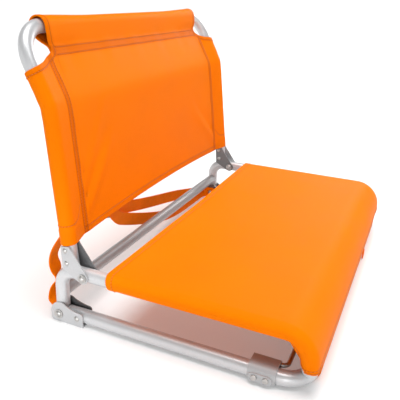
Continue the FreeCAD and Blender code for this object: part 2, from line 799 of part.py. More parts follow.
def make_carry_strap():
    right = anchor(-1, 0.5)
    left = anchor(1, 0)
    left_tail = anchor(1, 1)
    level = base_z + strap_rise
    flat = Z
    main = [
        (point(right, -7, level), flat),
        (point(right, 11, level), flat),
        (point(right - 1, 20, base_z + 5), point(0.5, -0.5, 0.6)),
        (point(right - 2, 24, base_z + 21), point(0.9, -0.3, 0.1)),
        (point(right - 2, 23, base_z + 42), point(1, 0, 0)),
        (point(right - 1, 18.5, base_z + 62), point(1, 0, 0)),
        (point(right + 5, 11, base_z + 82), point(1, 0.1, -0.2)),
        (point(right + 17, 1.5, base_z + 99), point(0.8, 0, -0.5)),
        (point(right + 37, -7.3, base_z + 107), point(0.35, -0.09, -0.85)),
        (point(right + 65, -3, base_z + 101), point(-0.3, -0.05, -0.95)),
        (point(-105, 8, base_z + 84), point(-0.35, 0, -0.9)),
        (point(-56, 16, base_z + 65), point(-0.3, 0, -0.95)),
        (point(18, 20, base_z + 45.5), point(-0.25, 0, -0.95)),
        (point(107, 21.5, base_z + 26), point(-0.25, 0, -0.95)),
        (point(165, 21, base_z + 11), point(-0.2, 0, -0.97)),
        (point(198, 19, base_z + 3), point(-0.1, 0, -1)),
        (point(left - 6, 16, level), flat * -1),
        (point(left - 1.5, 12.5, level), flat * -1),
        (point(left, 7.5, level), flat * -1),
        (point(left, -7, level), flat * -1),
    ]
    tail = [
        (point(-127, -3, base_z + 90), point(-0.4, 0, -0.9)),
        (point(-105, 3.8, base_z + 69), point(-0.5, 0, -0.85)),
        (point(-68, 10, base_z + 52), point(-0.4, 0, -0.9)),
        (point(-13, 13, base_z + 31), point(-0.36, 0, -0.93)),
        (point(50, 13.5, base_z + 10.5), point(-0.25, 0, -0.97)),
        (point(102, 13, base_z + 2), point(-0.08, 0, -1)),
        (point(165, 12.5, level), flat * -1),
        (point(200, 12.2, level), flat * -1),
        (point(left_tail - 6, 10.8, level), flat * -1),
        (point(left_tail - 1.5, 8.6, level), flat * -1),
        (point(left_tail, 5.2, level), flat * -1),
        (point(left_tail, -7, level), flat * -1),
    ]
    hole = cross_hole(lower_shank, 0, base_z)
    parts["carry_strap"] = webbing(main, strap_thickness).cut(hole).cut(mirrored(hole))
    parts["strap_tail"] = webbing(tail, strap_thickness).cut(hole)
    make_strap_slider(main[9], main[10])


def make_strap_slider(before, after):
    """A flat frame with a middle bar, standing in front of the webbing where the tail turns back."""
    along = unit(after[0] - before[0])
    thin = unit(along.cross(before[1]))
    width = unit(thin.cross(along))
    centre = (before[0] + after[0]) * 0.5
    if thin.y > 0:
        thin = thin * -1
    corner = centre + thin * (strap_thickness / 2.0 + slider_gap)

    def block(length, wide, offset):
        low = corner - along * (length / 2.0) - width * (wide / 2.0) + along * offset
        ring = [low, low + along * length, low + along * length + width * wide, low + width * wide, low]
        return Part.Face(Part.Wire(polyline(ring))).extrude(thin * slider_depth)

    window = (slider_length - 3 * slider_bar) / 2.0
    shift = (window + slider_bar) / 2.0
    frame = block(slider_length, slider_width, 0)
    for offset in (-shift, shift):
        frame = frame.cut(block(window, slider_width - 2 * slider_bar, offset))
    parts["strap_slider"] = frame


def build():
    base_envelope = make_base_frame()
    make_side_tubes(base_envelope)
    make_cross_bar()
    make_lower_brackets()
    make_leg_plugs()
    make_lower_fasteners()
    make_back_frame()
    make_upright_plugs()
    make_hinge_plates()
    make_hinge_fasteners()
    make_back_cover()
    make_seat_cover()
    make_lacing()
    make_front_tab()
    make_hook_clamps()
    make_wire_hooks()
    make_carry_strap()


# The origin goes under the middle of the seat's box, from its front hem to its top sleeve
rear_face = back_top.y + sleeve_out
front_face = -(front_leg_reach + sleeve_out)
middle_shift = -(rear_face + front_face) / 2.0


def export():
    os.makedirs("parts", exist_ok=True)
    for name, shape in parts.items():
        placed = shape.copy()
        placed.translate(Y * middle_shift)
        placed.exportStep(os.path.join("parts", name + ".step"))
        kind = "ok" if placed.isValid() else "NOT VALID"
        print(name, len(placed.Solids), round(placed.Volume, 1), kind)


build()
export()
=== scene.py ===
"""Covers, webbing, lacing and finishes of a folding stadium seat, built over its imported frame.

Shapes are worked out in millimetres and become metres when a mesh is made. +Z is up, the sitter
faces -Y, and the sitter's left is +X.
"""
import math

import bpy
import numpy as np
from bpy.props import FloatProperty, FloatVectorProperty, PointerProperty
from mathutils import Matrix, Vector


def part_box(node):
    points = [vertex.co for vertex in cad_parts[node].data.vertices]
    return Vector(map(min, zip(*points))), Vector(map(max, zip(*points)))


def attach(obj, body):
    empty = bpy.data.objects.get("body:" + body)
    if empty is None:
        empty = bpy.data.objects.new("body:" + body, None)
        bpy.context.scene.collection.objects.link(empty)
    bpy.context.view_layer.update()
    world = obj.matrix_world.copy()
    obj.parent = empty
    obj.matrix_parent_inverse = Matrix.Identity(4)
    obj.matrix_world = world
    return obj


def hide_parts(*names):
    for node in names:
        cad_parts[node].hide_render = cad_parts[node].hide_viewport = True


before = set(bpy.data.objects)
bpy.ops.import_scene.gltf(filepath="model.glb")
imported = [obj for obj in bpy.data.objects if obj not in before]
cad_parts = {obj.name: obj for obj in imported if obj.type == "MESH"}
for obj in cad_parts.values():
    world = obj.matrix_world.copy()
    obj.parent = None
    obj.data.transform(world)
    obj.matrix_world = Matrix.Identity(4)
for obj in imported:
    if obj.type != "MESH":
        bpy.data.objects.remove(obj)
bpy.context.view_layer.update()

bl_info = {
    "name": "Folding stadium seat",
    "version": (1, 0, 0),
    "blender": (4, 5, 0),
    "location": "3D View > Sidebar > Stadium seat",
    "description": "Sews the covers, lays the strap and lacing, and finishes the frame of a stadium seat",
    "category": "Object",
}

MM = 0.001

# A tube's radius, its cloth's radius, and places read from the frame, in millimetres
TUBE = 8.0
CLOTH_REACH = 8.75
side_high = Vector(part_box("seat_side_tube_left")[1]) / MM
base_low = Vector(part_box("base_frame")[0]) / MM
pin_low, pin_high = [Vector(c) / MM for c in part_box("hinge_pivots")]
HALF = side_high.x - TUBE
RAIL_Z = side_high.z - TUBE
LEG_Y = side_high.y - TUBE
BAR_Y = base_low.y + TUBE
BASE_Z = base_low.z + TUBE
PIVOT_Y = (pin_low.y + pin_high.y) / 2
PIVOT_Z = (pin_low.z + pin_high.z) / 2

# The upright's line: a straight lower run, a backward bend and a straight upper run
LEAN = math.radians(6.3)
BEND = math.radians(21.0)
BEND_RADIUS = 60.0
UPRIGHT_OFFSET = 18.6
LOWER_RUN = 189.0
UPPER_RUN = 87.0
FOOT_Y = PIVOT_Y + UPRIGHT_OFFSET * math.cos(LEAN)
FOOT_Z = PIVOT_Z - UPRIGHT_OFFSET * math.sin(LEAN)
BEND_START = LOWER_RUN - BEND_RADIUS * math.tan(BEND / 2)
BEND_END = BEND_START + BEND_RADIUS * BEND
TOP_S = BEND_END + UPPER_RUN - BEND_RADIUS * math.tan(BEND / 2)

# The back cover's outline, by distance up the upright and across the panel
BACK_HEM = 37.2
HEM_ARCH = 5.5
HEM_HALF = 190.0
NOTCH_IN = 187.0
NOTCH_WIDE = 26.0
NOTCH_EDGE = [(NOTCH_IN, 0.0), (187.5, 4.2), (189.5, 6.8), (194.0, 9.2), (200.0, 11.8), (207.0, 14.8),
              (213.0, 17.2), (221.0, 19.4), (229.0, 21.4), (237.0, 22.8), (260.0, 23.2)]
TOP_END = 192.0
TOP_SEAM = 24.0
TOP_BAND = 12.0

# The seat cover's outline, by distance in front of the rear legs
SEAT_REAR = LEG_Y - 62.5
SEAT_REAR_UNDER = LEG_Y - 67.0
FOLD_Y = LEG_Y - 260.0
FOLD_RADIUS = 28.0
FOLD_Z = RAIL_Z - FOLD_RADIUS
FLAP_FRONT = LEG_Y - 274.0
LACE_EDGE = 28.0
EYELET_X = 46.0
EYELET_HOLE = 3.4
LACE_ROWS = [LEG_Y - d for d in (87.5, 139.0, 165.0, 191.0, 217.0, 243.0, 269.0)]
FRONT_LEG_Y = LEG_Y - 288.0
KNEE_Z = FOLD_Z - 7.0
FOOT_LINE_Z = BASE_Z + 2.0
FOOT_INSET = 20.5
FOOT_SETBACK = 2.5
FUNNEL_Z = BASE_Z + 17.0
HEM_TURN = 92.0

# How far out the painted shade on the inside of the lower brackets reaches, in metres
BRACKET_SHADE_REACH = (HALF - 5.0) * MM

# Marks on the cloth that hold the distance from each row of stitches
STITCH_MARKS = ("row_a", "row_b", "row_c", "row_d", "row_e", "row_f")
NO_ROW = 20.0

# How far each row of stitches lies inside the edge it follows
SEAM_STITCH = 1.8
TOP_STITCH = 1.6
HEM_STITCH = 1.4
NOTCH_STITCH = 5.2
SKIRT_STITCHES = (7.5, 2.5)
FUNNEL_STITCHES = (5.6, 2.2)
SLIT_STITCH = 3.6
LACE_STITCH = 10.5

# The back cover's layers, sag and slack folds: hand, start, slope and size of each fold
BACK_LAYER = 0.8
BACK_RISE = 0.45
BACK_SAG = 2.2
BACK_FOLDS = ((-1, 12.0, 1.05, 1.0), (1, 14.0, 0.92, 0.8), (-1, 34.0, 1.5, 0.35))
TOP_SLACK = 0.24

# The seat cover's layers, its sag, the draw of its lacing, and its fold's and skirt's length when flat
SEAT_LAYER = 0.85
SEAT_RISE = 0.4
SEAT_SAG = 2.4
LACE_DRAW = 2.6
FLAT_STEP = 45.0
SKIRT_START = 2.0
HEM_COLUMNS = 214.0

# The studio: softboxes as name, place, aim, size and power, the spot and the sun, in metres and watts
SOFTBOXES = (("right_softbox", (2.1, -0.12, 1.0), (0.0, 0.0, 0.15), 1.1, 17.0),
             ("front_softbox", (-0.4, -1.3, 2.1), (0.0, 0.0, 0.15), 1.2, 9.0),
             ("low_softbox", (-1.8, -0.6, 0.32), (0.0, -0.05, 0.03), 0.6, 5.0))
SPOT_PLACE, SPOT_AIM = (-1.25, -0.1, 0.3), (-0.235, 0.135, 0.055)
SPOT_POWER, SPOT_ANGLE, SPOT_SIZE = 20.0, 14.0, 0.08
SUN_POWER, SUN_ANGLE = 2.8, 40.0
SKY_POWER = 0.16
FLOOR_SIZE, FLOOR_FLAT, FLOOR_RISE, FLOOR_GLOW = 24.0, 3.0, 0.05, 0.17

# The camera that was fitted to the photo: azimuth, elevation and roll in degrees, place in metres
CAMERA_TURN = (-65.80, 18.80, 1.69)
CAMERA_PLACE = (-0.66811, -0.23213, 0.36777)
CAMERA_LENS, CAMERA_SHIFT = 48.548, (0.0266, -0.0640)

# The strap's route in metres: where its middle passes, and which way its width lies
STRAP_ROUTE = [
    ((-0.21615, 0.11489, 0.01010), (0, 0, 1)),
    ((-0.21615, 0.13289, 0.01010), (0, 0, 1)),
    ((-0.21715, 0.14088, 0.01280), (0.5, -0.5, 0.6)),
    ((-0.21815, 0.14188, 0.02180), (0.95, -0.3, 0.1)),
    ((-0.21815, 0.14088, 0.03480), (1, 0.1, 0)),
    ((-0.21615, 0.13588, 0.04480), (0.75, 0.35, 0.5)),
    ((-0.21715, 0.13888, 0.05580), (1, -0.2, -0.15)),
    ((-0.21815, 0.14188, 0.06780), (1, 0.1, 0.15)),
    ((-0.21715, 0.13788, 0.08080), (0.95, -0.1, 0.25)),
    ((-0.21115, 0.13189, 0.09380), (1, 0.1, -0.2)),
    ((-0.19915, 0.12339, 0.10880), (0.8, 0, -0.5)),
    ((-0.17915, 0.11459, 0.11680), (0.35, -0.09, -0.85)),
    ((-0.15115, 0.11889, 0.11080), (-0.3, -0.05, -0.95)),
    ((-0.10500, 0.12989, 0.09380), (-0.35, 0, -0.9)),
    ((-0.05600, 0.13788, 0.07480), (-0.3, 0, -0.95)),
    ((0.01800, 0.14188, 0.05530), (-0.25, 0, -0.95)),
    ((0.10700, 0.14338, 0.03580), (-0.25, 0, -0.95)),
    ((0.16500, 0.14288, 0.02080), (-0.2, 0, -0.97)),
    ((0.19800, 0.14088, 0.01280), (-0.1, 0, -1)),
    ((0.21090, 0.13788, 0.01010), (0, 0, -1)),
    ((0.21540, 0.13439, 0.01010), (0, 0, -1)),
    ((0.21690, 0.12939, 0.01010), (0, 0, -1)),
    ((0.21690, 0.11489, 0.01010), (0, 0, -1)),
]
TAIL_ROUTE = [
    ((-0.12700, 0.11889, 0.09980), (-0.4, 0, -0.9)),
    ((-0.10500, 0.12568, 0.07880), (-0.5, 0, -0.85)),
    ((-0.06800, 0.13189, 0.06180), (-0.4, 0, -0.9)),
    ((-0.01300, 0.13488, 0.04080), (-0.36, 0, -0.93)),
    ((0.05000, 0.13538, 0.02030), (-0.25, 0, -0.97)),
    ((0.10200, 0.13488, 0.01180), (-0.08, 0, -1)),
    ((0.16500, 0.13439, 0.01010), (0, 0, -1)),
    ((0.20000, 0.13409, 0.01010), (0, 0, -1)),
    ((0.20940, 0.13268, 0.01010), (0, 0, -1)),
    ((0.21390, 0.13049, 0.01010), (0, 0, -1)),
    ((0.21540, 0.12709, 0.01010), (0, 0, -1)),
    ((0.21540, 0.11489, 0.01010), (0, 0, -1)),
]

# The lace's levels below and above the flaps, and where it turns round a flap's edge
LACE_BELOW = RAIL_Z - 11.25
LACE_LOWER = LACE_BELOW - 2.45
LACE_ABOVE = RAIL_Z - 6.15
LACE_TURN_X = 25.5
LACE_END_X = 52.0


def length(name, description, default):
    return FloatProperty(name=name, description=description, default=default, min=0.0, unit="LENGTH",
                         precision=5)


def colour(name, description, default):
    return FloatVectorProperty(name=name, description=description, default=default, size=3, min=0.0,
                               max=1.0, subtype="COLOR")


class SeatCloth(bpy.types.PropertyGroup):
    """Sizes of the sewn covers."""
    thickness: length("Cloth thickness", "Thickness of one layer of cover cloth", 0.0012)
    hem: length("Hem width", "Width of a turned hem", 0.0085)
    seam_inset: length("Sleeve seam", "From an upright's axis to its sleeve's seam", 0.0270)
    seam_band: length("Seam band", "Width of the doubled band beside a sleeve", 0.0090)
    pitch: length("Stitch pitch", "From one stitch to the next", 0.0034)
    stitch: length("Stitch length", "Length of thread that shows in one stitch", 0.0026)
    thread: length("Thread", "Thread diameter", 0.0007)
    fold: length("Fold depth", "Depth of the softest folds in a cover", 0.0022)
    weave: length("Weave", "From one yarn to the next", 0.0009)


class SeatCords(bpy.types.PropertyGroup):
    """Sizes of the strap and the lace."""
    strap_width: length("Strap width", "Width of the webbing", 0.018)
    strap_thickness: length("Strap thickness", "Thickness of the webbing", 0.0014)
    rib: length("Rib", "From one rib of the webbing to the next", 0.0015)
    lace: length("Lace", "Diameter of the lace", 0.0022)


class SeatColours(bpy.types.PropertyGroup):
    """Colours of the seat and its floor."""
    cloth: colour("Cloth", "Cover cloth", (0.92, 0.2, 0.0008))
    # Painted shade: the darker cloth colour laid over the seam bands and hems.
    cloth_shade: colour("Cloth shade", "Cover cloth in its seams and hems", (0.70, 0.135, 0.0006))
    webbing: colour("Webbing", "Carry strap", (1.0, 0.2, 0.001))
    lace: colour("Lace", "Lace cord", (0.75, 0.12, 0.002))
    thread: colour("Thread", "Sewing thread", (0.80, 0.17, 0.003))
    paint: colour("Frame paint", "Silver paint on the tubes and plates", (0.57, 0.575, 0.585))
    steel: colour("Steel", "Rivets, screws and eyelets", (0.62, 0.61, 0.59))
    plastic: colour("Plastic", "Plugs, hook tips and slider", (0.42, 0.42, 0.43))
    floor: colour("Floor", "The plain floor", (0.76, 0.76, 0.76))


# Lines and meshes
def run_marks(places):
    """The distance along a run of places to each of them."""
    return np.concatenate([[0.0], np.cumsum(np.linalg.norm(np.diff(places, axis=0), axis=1))])


class Line:
    """A run of points that is read by the distance along it."""

    def __init__(self, points, soften=0.0, step=0.25):
        points = np.asarray(points, float)
        marks = run_marks(points)
        dense = np.linspace(0.0, marks[-1], max(int(marks[-1] / step), 2) + 1)
        places = np.stack([np.interp(dense, marks, c) for c in points.T], axis=1)
        if soften > 0.0:
            reach = int(3 * soften / step)
            weights = np.exp(-0.5 * (np.arange(-reach, reach + 1) * step / soften) ** 2)
            weights /= weights.sum()
            before = places[0] + (places[0] - places[1]) * np.arange(reach, 0, -1)[:, None]
            after = places[-1] + (places[-1] - places[-2]) * np.arange(1, reach + 1)[:, None]
            padded = np.concatenate([before, places, after])
            places = np.stack([np.convolve(c, weights, "valid") for c in padded.T], axis=1)
        self.marks = run_marks(places)
        self.places = places
        self.length = self.marks[-1]

    def at(self, distance):
        return np.stack([np.interp(distance, self.marks, c) for c in self.places.T], axis=-1)


def ease(low, high, value):
    """A smooth step from 0 at low to 1 at high."""
    t = np.clip((np.asarray(value, float) - low) / (high - low), 0.0, 1.0)
    return t * t * (3.0 - 2.0 * t)


def ridge(value, middle, width):
    return np.exp(-((np.asarray(value, float) - middle) / width) ** 2)


def between(low, high, value, blur=0.6):
    """1 from low to high and 0 beyond, with soft ends."""
    return ease(low - blur, low + blur, value) * (1.0 - ease(high - blur, high + blur, value))


def unit(vectors):
    size = np.linalg.norm(vectors, axis=-1, keepdims=True)
    return vectors / np.maximum(size, 1e-12)


def mesh_object(name, places, faces, flat=None, marks=None):
    """A smooth-shaded object at the origin from millimetre places, with its flat pattern and marks."""
    mesh = bpy.data.meshes.new(name)
    spots = [tuple(p) for p in np.asarray(places) * MM]
    mesh.from_pydata(spots, [], [tuple(int(i) for i in f) for f in faces])
    mesh.polygons.foreach_set("use_smooth", [True] * len(mesh.polygons))
    corner = np.empty(len(mesh.loops), dtype=np.int32)
    mesh.loops.foreach_get("vertex_index", corner)
    if flat is not None:
        layer = mesh.uv_layers.new(name="flat")
        layer.data.foreach_set("uv", (np.asarray(flat)[corner] * MM).ravel())
    for key, values in (marks or {}).items():
        layer = mesh.attributes.new(key, "FLOAT", "POINT")
        layer.data.foreach_set("value", np.asarray(values, dtype=np.float32))
    mesh.update()
    piece = bpy.data.objects.new(name, mesh)
    bpy.context.scene.collection.objects.link(piece)
    return piece


def cell_spans(places, cells):
    """Each cell's normal, as long as twice its area."""
    corners = places[cells]
    return np.cross(corners[:, 2] - corners[:, 0], corners[:, 3] - corners[:, 1])


def cell_normals(places, cells):
    normals = np.zeros_like(places)
    span = cell_spans(places, cells)
    for k in range(4):
        np.add.at(normals, cells[:, k], span)
    return unit(normals)


def sheet_area(places, cells):
    return np.linalg.norm(cell_spans(places, cells), axis=1).sum() / 2 * MM * MM


def grid_cells(ids, flip=False):
    """The cells between the rows and columns of a grid of place numbers."""
    corners = [ids[:-1, :-1], ids[:-1, 1:], ids[1:, 1:], ids[1:, :-1]]
    if flip:
        corners = [corners[k] for k in (0, 3, 2, 1)]
    return np.stack(corners, axis=-1).reshape(-1, 4)


def skin_faces(rings, size, first=0, flip=False):
    """The faces over rings of places, each of one size, with a cap at each end."""
    last = first + (rings - 1) * size
    faces = []
    for a in range(first, last, size):
        for k in range(size):
            n = (k + 1) % size
            faces.append((a + k, a + size + k, a + size + n, a + n))
    faces.append(tuple(range(first, first + size)))
    faces.append(tuple(range(last + size - 1, last - 1, -1)))
    return [face[:1] + face[:0:-1] for face in faces] if flip else faces


def cloth_object(name, places, cells, flat, outer, inner, marks):
    """A closed sheet round a middle surface: an outer and an inner face and a rounded edge."""
    places = np.asarray(places, float)
    cells = np.asarray(cells, int)
    normals = cell_normals(places, cells)
    count = len(places)
    edges = dict.fromkeys((a, b) for cell in cells for a, b in zip(cell, np.roll(cell, -1)))
    rim = [(a, b) for a, b in edges if (b, a) not in edges]
    outward = np.zeros_like(places)
    for a, b in rim:
        away = np.cross(places[b] - places[a], normals[a] + normals[b])
        away /= max(np.linalg.norm(away), 1e-9)
        outward[a] += away
        outward[b] += away
    rim_ids = sorted({i for edge in rim for i in edge})
    middle = {i: 2 * count + n for n, i in enumerate(rim_ids)}
    ids = np.array(rim_ids)
    edge_reach = ((outer + inner) / 2)[ids, None]
    shift = ((outer - inner) / 2)[ids, None]
    edge_places = places[ids] + unit(outward[ids]) * edge_reach * 0.9 + normals[ids] * shift
    all_places = np.concatenate([places + normals * outer[:, None], places - normals * inner[:, None],
                                 edge_places])
    faces = [tuple(c) for c in cells] + [tuple(c[::-1] + count) for c in cells]
    for a, b in rim:
        faces.append((b, a, middle[a], middle[b]))
        faces.append((middle[b], middle[a], a + count, b + count))
    flat = np.asarray(flat, float)
    all_flat = np.concatenate([flat, flat, flat[ids]])
    all_marks = {key: np.concatenate([values, values, values[ids]]) for key, values in marks.items()}
    return mesh_object(name, all_places, faces, all_flat, all_marks)


def stitch_object(name, runs, pitch, reach, thread):
    """Short sunk threads along runs of (places, normals), each a low rounded bar."""
    sides = 5
    rings = ((-0.5, 0.35, -0.45), (-0.3, 1.0, 0.35), (0.3, 1.0, 0.35), (0.5, 0.35, -0.45))
    turns = np.arange(sides) * 2 * np.pi / sides
    places, faces = [], []
    for run_places, run_normals in runs:
        line = Line(run_places, step=0.5)
        across = Line(np.concatenate([run_places, run_normals], axis=1), step=0.5)
        count = int(line.length / pitch)
        for i in range(count):
            middle = (i + 0.5) * line.length / count
            share = middle / line.length * across.length
            along = unit(line.at(min(middle + 0.5, line.length)) - line.at(max(middle - 0.5, 0.0)))
            up = unit(across.at(share)[3:])
            up = unit(up - along * np.dot(up, along))
            beside = np.cross(along, up)
            centre = line.at(middle)
            first = len(places)
            for offset, wide, lift in rings:
                for turn in turns:
                    side = beside * math.cos(turn) * wide + up * (math.sin(turn) * wide + lift)
                    places.append(centre + along * offset * reach + side * thread / 2)
            faces += skin_faces(len(rings), sides, first)
    return mesh_object(name, places, faces)


def spline_points(points, fineness):
    """The points of a smooth curve that is drawn with these control points, in metres."""
    curve = bpy.data.curves.new("route", "CURVE")
    curve.dimensions = "3D"
    spline = curve.splines.new("NURBS")
    spline.points.add(len(points) - 1)
    for place, co in zip(spline.points, points):
        place.co = (*co, 1.0)
    spline.order_u = 3
    spline.use_endpoint_u = True
    spline.resolution_u = fineness
    holder = bpy.data.objects.new("route", curve)
    bpy.context.scene.collection.objects.link(holder)
    drawn = bpy.data.meshes.new_from_object(holder)
    places = np.array([v.co[:] for v in drawn.vertices])
    bpy.data.objects.remove(holder)
    bpy.data.meshes.remove(drawn)
    bpy.data.curves.remove(curve)
    return places


def tube_object(name, places, radius, sides=10):
    """A round cord along a run of millimetre places, with rounded ends."""
    along = unit(np.gradient(places, axis=0))
    up = np.array([0.0, 0.0, 1.0]) if abs(along[0][2]) < 0.9 else np.array([1.0, 0.0, 0.0])
    marks = run_marks(places)
    rows = []
    for i, way in enumerate(along):
        up = unit(up - way * np.dot(up, way))
        rows.append((places[i], np.cross(way, up), up, 1.0, marks[i]))
    start, end = rows[0], rows[-1]
    rows.insert(0, (start[0] - along[0] * radius * 0.7, start[1], start[2], 0.6, marks[0] - radius))
    rows.append((end[0] + along[-1] * radius * 0.7, end[1], end[2], 0.6, marks[-1] + radius))
    turns = np.arange(sides) * 2 * np.pi / sides
    points, flat = [], []
    for centre, side, top, wide, mark in rows:
        for turn in turns:
            points.append(centre + (side * math.cos(turn) + top * math.sin(turn)) * radius * wide)
            flat.append((turn * radius, mark))
    return mesh_object(name, points, skin_faces(len(rows), sides, flip=True), flat)


# Materials
class Value:
    """A node's socket that arithmetic can be written on."""

    def __init__(self, finish, socket):
        self.finish = finish
        self.socket = socket

    def __add__(self, other):
        return self.finish.math("ADD", self, other)

    def __radd__(self, other):
        return self.finish.math("ADD", other, self)

    def __sub__(self, other):
        return self.finish.math("SUBTRACT", self, other)

    def __rsub__(self, other):
        return self.finish.math("SUBTRACT", other, self)

    def __mul__(self, other):
        return self.finish.math("MULTIPLY", self, other)

    def __rmul__(self, other):
        return self.finish.math("MULTIPLY", other, self)


class Finish:
    """A material built up from one Principled shader."""

    def __init__(self, name):
        self.material = bpy.data.materials.new(name)
        self.material.use_nodes = True
        self.tree = self.material.node_tree
        self.tree.nodes.clear()
        output = self.tree.nodes.new("ShaderNodeOutputMaterial")
        self.shader = self.tree.nodes.new("ShaderNodeBsdfPrincipled")
        self.tree.links.new(self.shader.outputs["BSDF"], output.inputs["Surface"])

    def give(self, socket, value):
        if isinstance(value, Value):
            self.tree.links.new(value.socket, socket)
        elif socket.type == "RGBA" and len(value) == 3:
            socket.default_value = (*value, 1.0)
        else:
            socket.default_value = value

    def node(self, kind, settings=None, sockets=None, out=0):
        made = self.tree.nodes.new(kind)
        for key, value in (settings or {}).items():
            setattr(made, key, value)
        for key, value in (sockets or {}).items():
            self.give(made.inputs[key], value)
        return Value(self, made.outputs[out])

    def math(self, operation, first, second=0.0):
        return self.node("ShaderNodeMath", {"operation": operation}, {0: first, 1: second})

    def mix(self, share, first, second, blend="MIX"):
        return self.node("ShaderNodeMix", {"data_type": "RGBA", "blend_type": blend},
                         {0: share, 6: first, 7: second}, out=2)

    def object_place(self):
        return self.node("ShaderNodeTexCoord", out=3)

    def flat_place(self):
        return self.node("ShaderNodeUVMap", {"uv_map": "flat"})

    def parts(self, vector):
        made = self.node("ShaderNodeSeparateXYZ", None, {0: vector}).socket.node
        return [Value(self, s) for s in made.outputs]

    def noise(self, vector, scale, detail=2.0, roughness=0.5):
        return self.node("ShaderNodeTexNoise", {"noise_dimensions": "3D"},
                         {"Vector": vector, "Scale": scale, "Detail": detail, "Roughness": roughness})

    def span(self, value, low, high, start, end):
        """A value between low and high, spread from start to end."""
        return self.node("ShaderNodeMapRange", {"clamp": True},
                         {0: value, 1: low, 2: high, 3: start, 4: end})

    def vary(self, noise, start, end):
        """A noise's usual reach, spread from start to end."""
        return self.span(noise, 0.3, 0.7, start, end)

    def stretched_noise(self, vector, scale, detail):
        spread = self.node("ShaderNodeMapping", None, {"Vector": vector, "Scale": scale})
        return self.noise(spread, 1.0, detail)

    def mark(self, name):
        return self.node("ShaderNodeAttribute", {"attribute_name": name}, out=2)

    def shaded(self, tint, shade):
        """A tint made lighter or darker by a value."""
        grey = self.node("ShaderNodeCombineColor", None, {0: shade, 1: shade, 2: shade})
        return self.mix(1.0, tint, grey, "MULTIPLY")

    def bump(self, height, depth, strength, under=None):
        sockets = {"Strength": strength, "Distance": depth, "Height": height}
        if under is not None:
            sockets["Normal"] = under
        return self.node("ShaderNodeBump", None, sockets)

    def set(self, **sockets):
        for key, value in sockets.items():
            self.give(self.shader.inputs[key.replace("_", " ")], value)
        return self.material


def tinted(tint, share):
    return tuple(share * c for c in tint)


def made_once(build):
    """Build a material the first time it is asked for, and give the same one after that."""
    def give(name, *wanted):
        return bpy.data.materials.get(name) or build(Finish(name), *wanted)
    return give


@made_once
def cloth_finish(f):
    """Plain woven polyester: fine crossing yarns, slubs, seam bands and hems with painted shade, and sunk
    rows of stitches with painted shade in their grooves.
    """
    scene = bpy.context.scene
    flat = f.flat_place()
    u, v = f.parts(flat)[:2]
    turn = math.pi / scene.seat_cloth.weave
    warp = f.math("SINE", u * turn)
    weft = f.math("SINE", v * turn)
    over = f.math("GREATER_THAN", warp * weft, 0.0)
    yarns = f.math("ABSOLUTE", warp) * over + f.math("ABSOLUTE", weft) * (1.0 - over)
    slub = f.stretched_noise(flat, (1400.0, 160.0, 1.0), 2.0)
    drift = f.noise(flat, 14.0, 3.0)
    # Painted shade: the seam bands and hems are mixed towards the darker cloth shade colour.
    tint = f.mix(f.mark("seam"), scene.seat_colours.cloth, scene.seat_colours.cloth_shade)
    # Painted shade: the colour is darkened to 0.6 along each sunk row of stitches.
    rows = 0.0
    for key in STITCH_MARKS:
        rows = rows + f.span(f.math("ABSOLUTE", f.mark(key)), 0.0, 1.1, 1.0, 0.0)
    shade = f.vary(drift, 0.97, 1.03) * f.span(yarns, 0.0, 1.0, 0.86, 1.04)
    shade = shade * f.vary(slub, 0.96, 1.03) * f.span(rows, 0.0, 1.0, 1.0, 0.6)
    weave_bump = f.bump(yarns + slub * 0.4, 0.0002, 0.35)
    return f.set(Base_Color=f.shaded(tint, shade), Roughness=f.vary(drift, 0.4, 0.48),
                 Normal=f.bump(1.0 - rows, 0.0006, 0.7, weave_bump), Specular_IOR_Level=0.015)


@made_once
def webbing_finish(f):
    """Ribbed polypropylene webbing with a slight gloss on its ribs."""
    scene = bpy.context.scene
    pick = 0.0011
    flat = f.flat_place()
    u, v = f.parts(flat)[:2]
    ribs = f.math("SINE", u * (2 * math.pi / scene.seat_cords.rib))
    picks = f.math("SINE", v * (2 * math.pi / pick) + f.math("SIGN", ribs) * 1.57)
    height = f.math("ABSOLUTE", ribs) * 0.7 + picks * 0.3
    fuzz = f.noise(flat, 220.0, 3.0)
    drift = f.noise(flat, 24.0, 2.0)
    shade = f.span(height, -0.2, 1.0, 0.86, 1.06) * f.vary(drift, 0.92, 1.06) * f.vary(fuzz, 0.95, 1.04)
    return f.set(Base_Color=f.shaded(tuple(scene.seat_colours.webbing), shade),
                 Roughness=f.span(height, 0.0, 1.0, 0.62, 0.46), Normal=f.bump(height, 0.0003, 0.5),
                 Specular_IOR_Level=0.03)


@made_once
def cord_finish(f, tint, lay):
    """A braided cord: slanting strands that cross round it."""
    flat = f.flat_place()
    u, v = f.parts(flat)[:2]
    turn = 2 * math.pi / lay
    left = f.math("SINE", (u + v * 0.7) * turn)
    right = f.math("SINE", (u - v * 0.7) * turn)
    braid = f.math("MAXIMUM", left, right)
    shade = f.span(braid, -0.6, 1.0, 0.62, 1.08) * f.vary(f.noise(flat, 60.0, 2.0), 0.92, 1.05)
    return f.set(Base_Color=f.shaded(tint, shade), Roughness=f.span(braid, -1.0, 1.0, 0.7, 0.55),
                 Normal=f.bump(braid, 0.0002, 0.6), Sheen_Weight=0.2, Sheen_Roughness=0.4)


@made_once
def thread_finish(f):
    """Spun thread, a little lighter in places."""
    thread = tuple(bpy.context.scene.seat_colours.thread)
    drift = f.noise(f.object_place(), 900.0, 2.0)
    return f.set(Base_Color=f.mix(f.vary(drift, 0.0, 1.0), tinted(thread, 0.8), thread),
                 Roughness=f.vary(drift, 0.5, 0.62), Sheen_Weight=0.15)


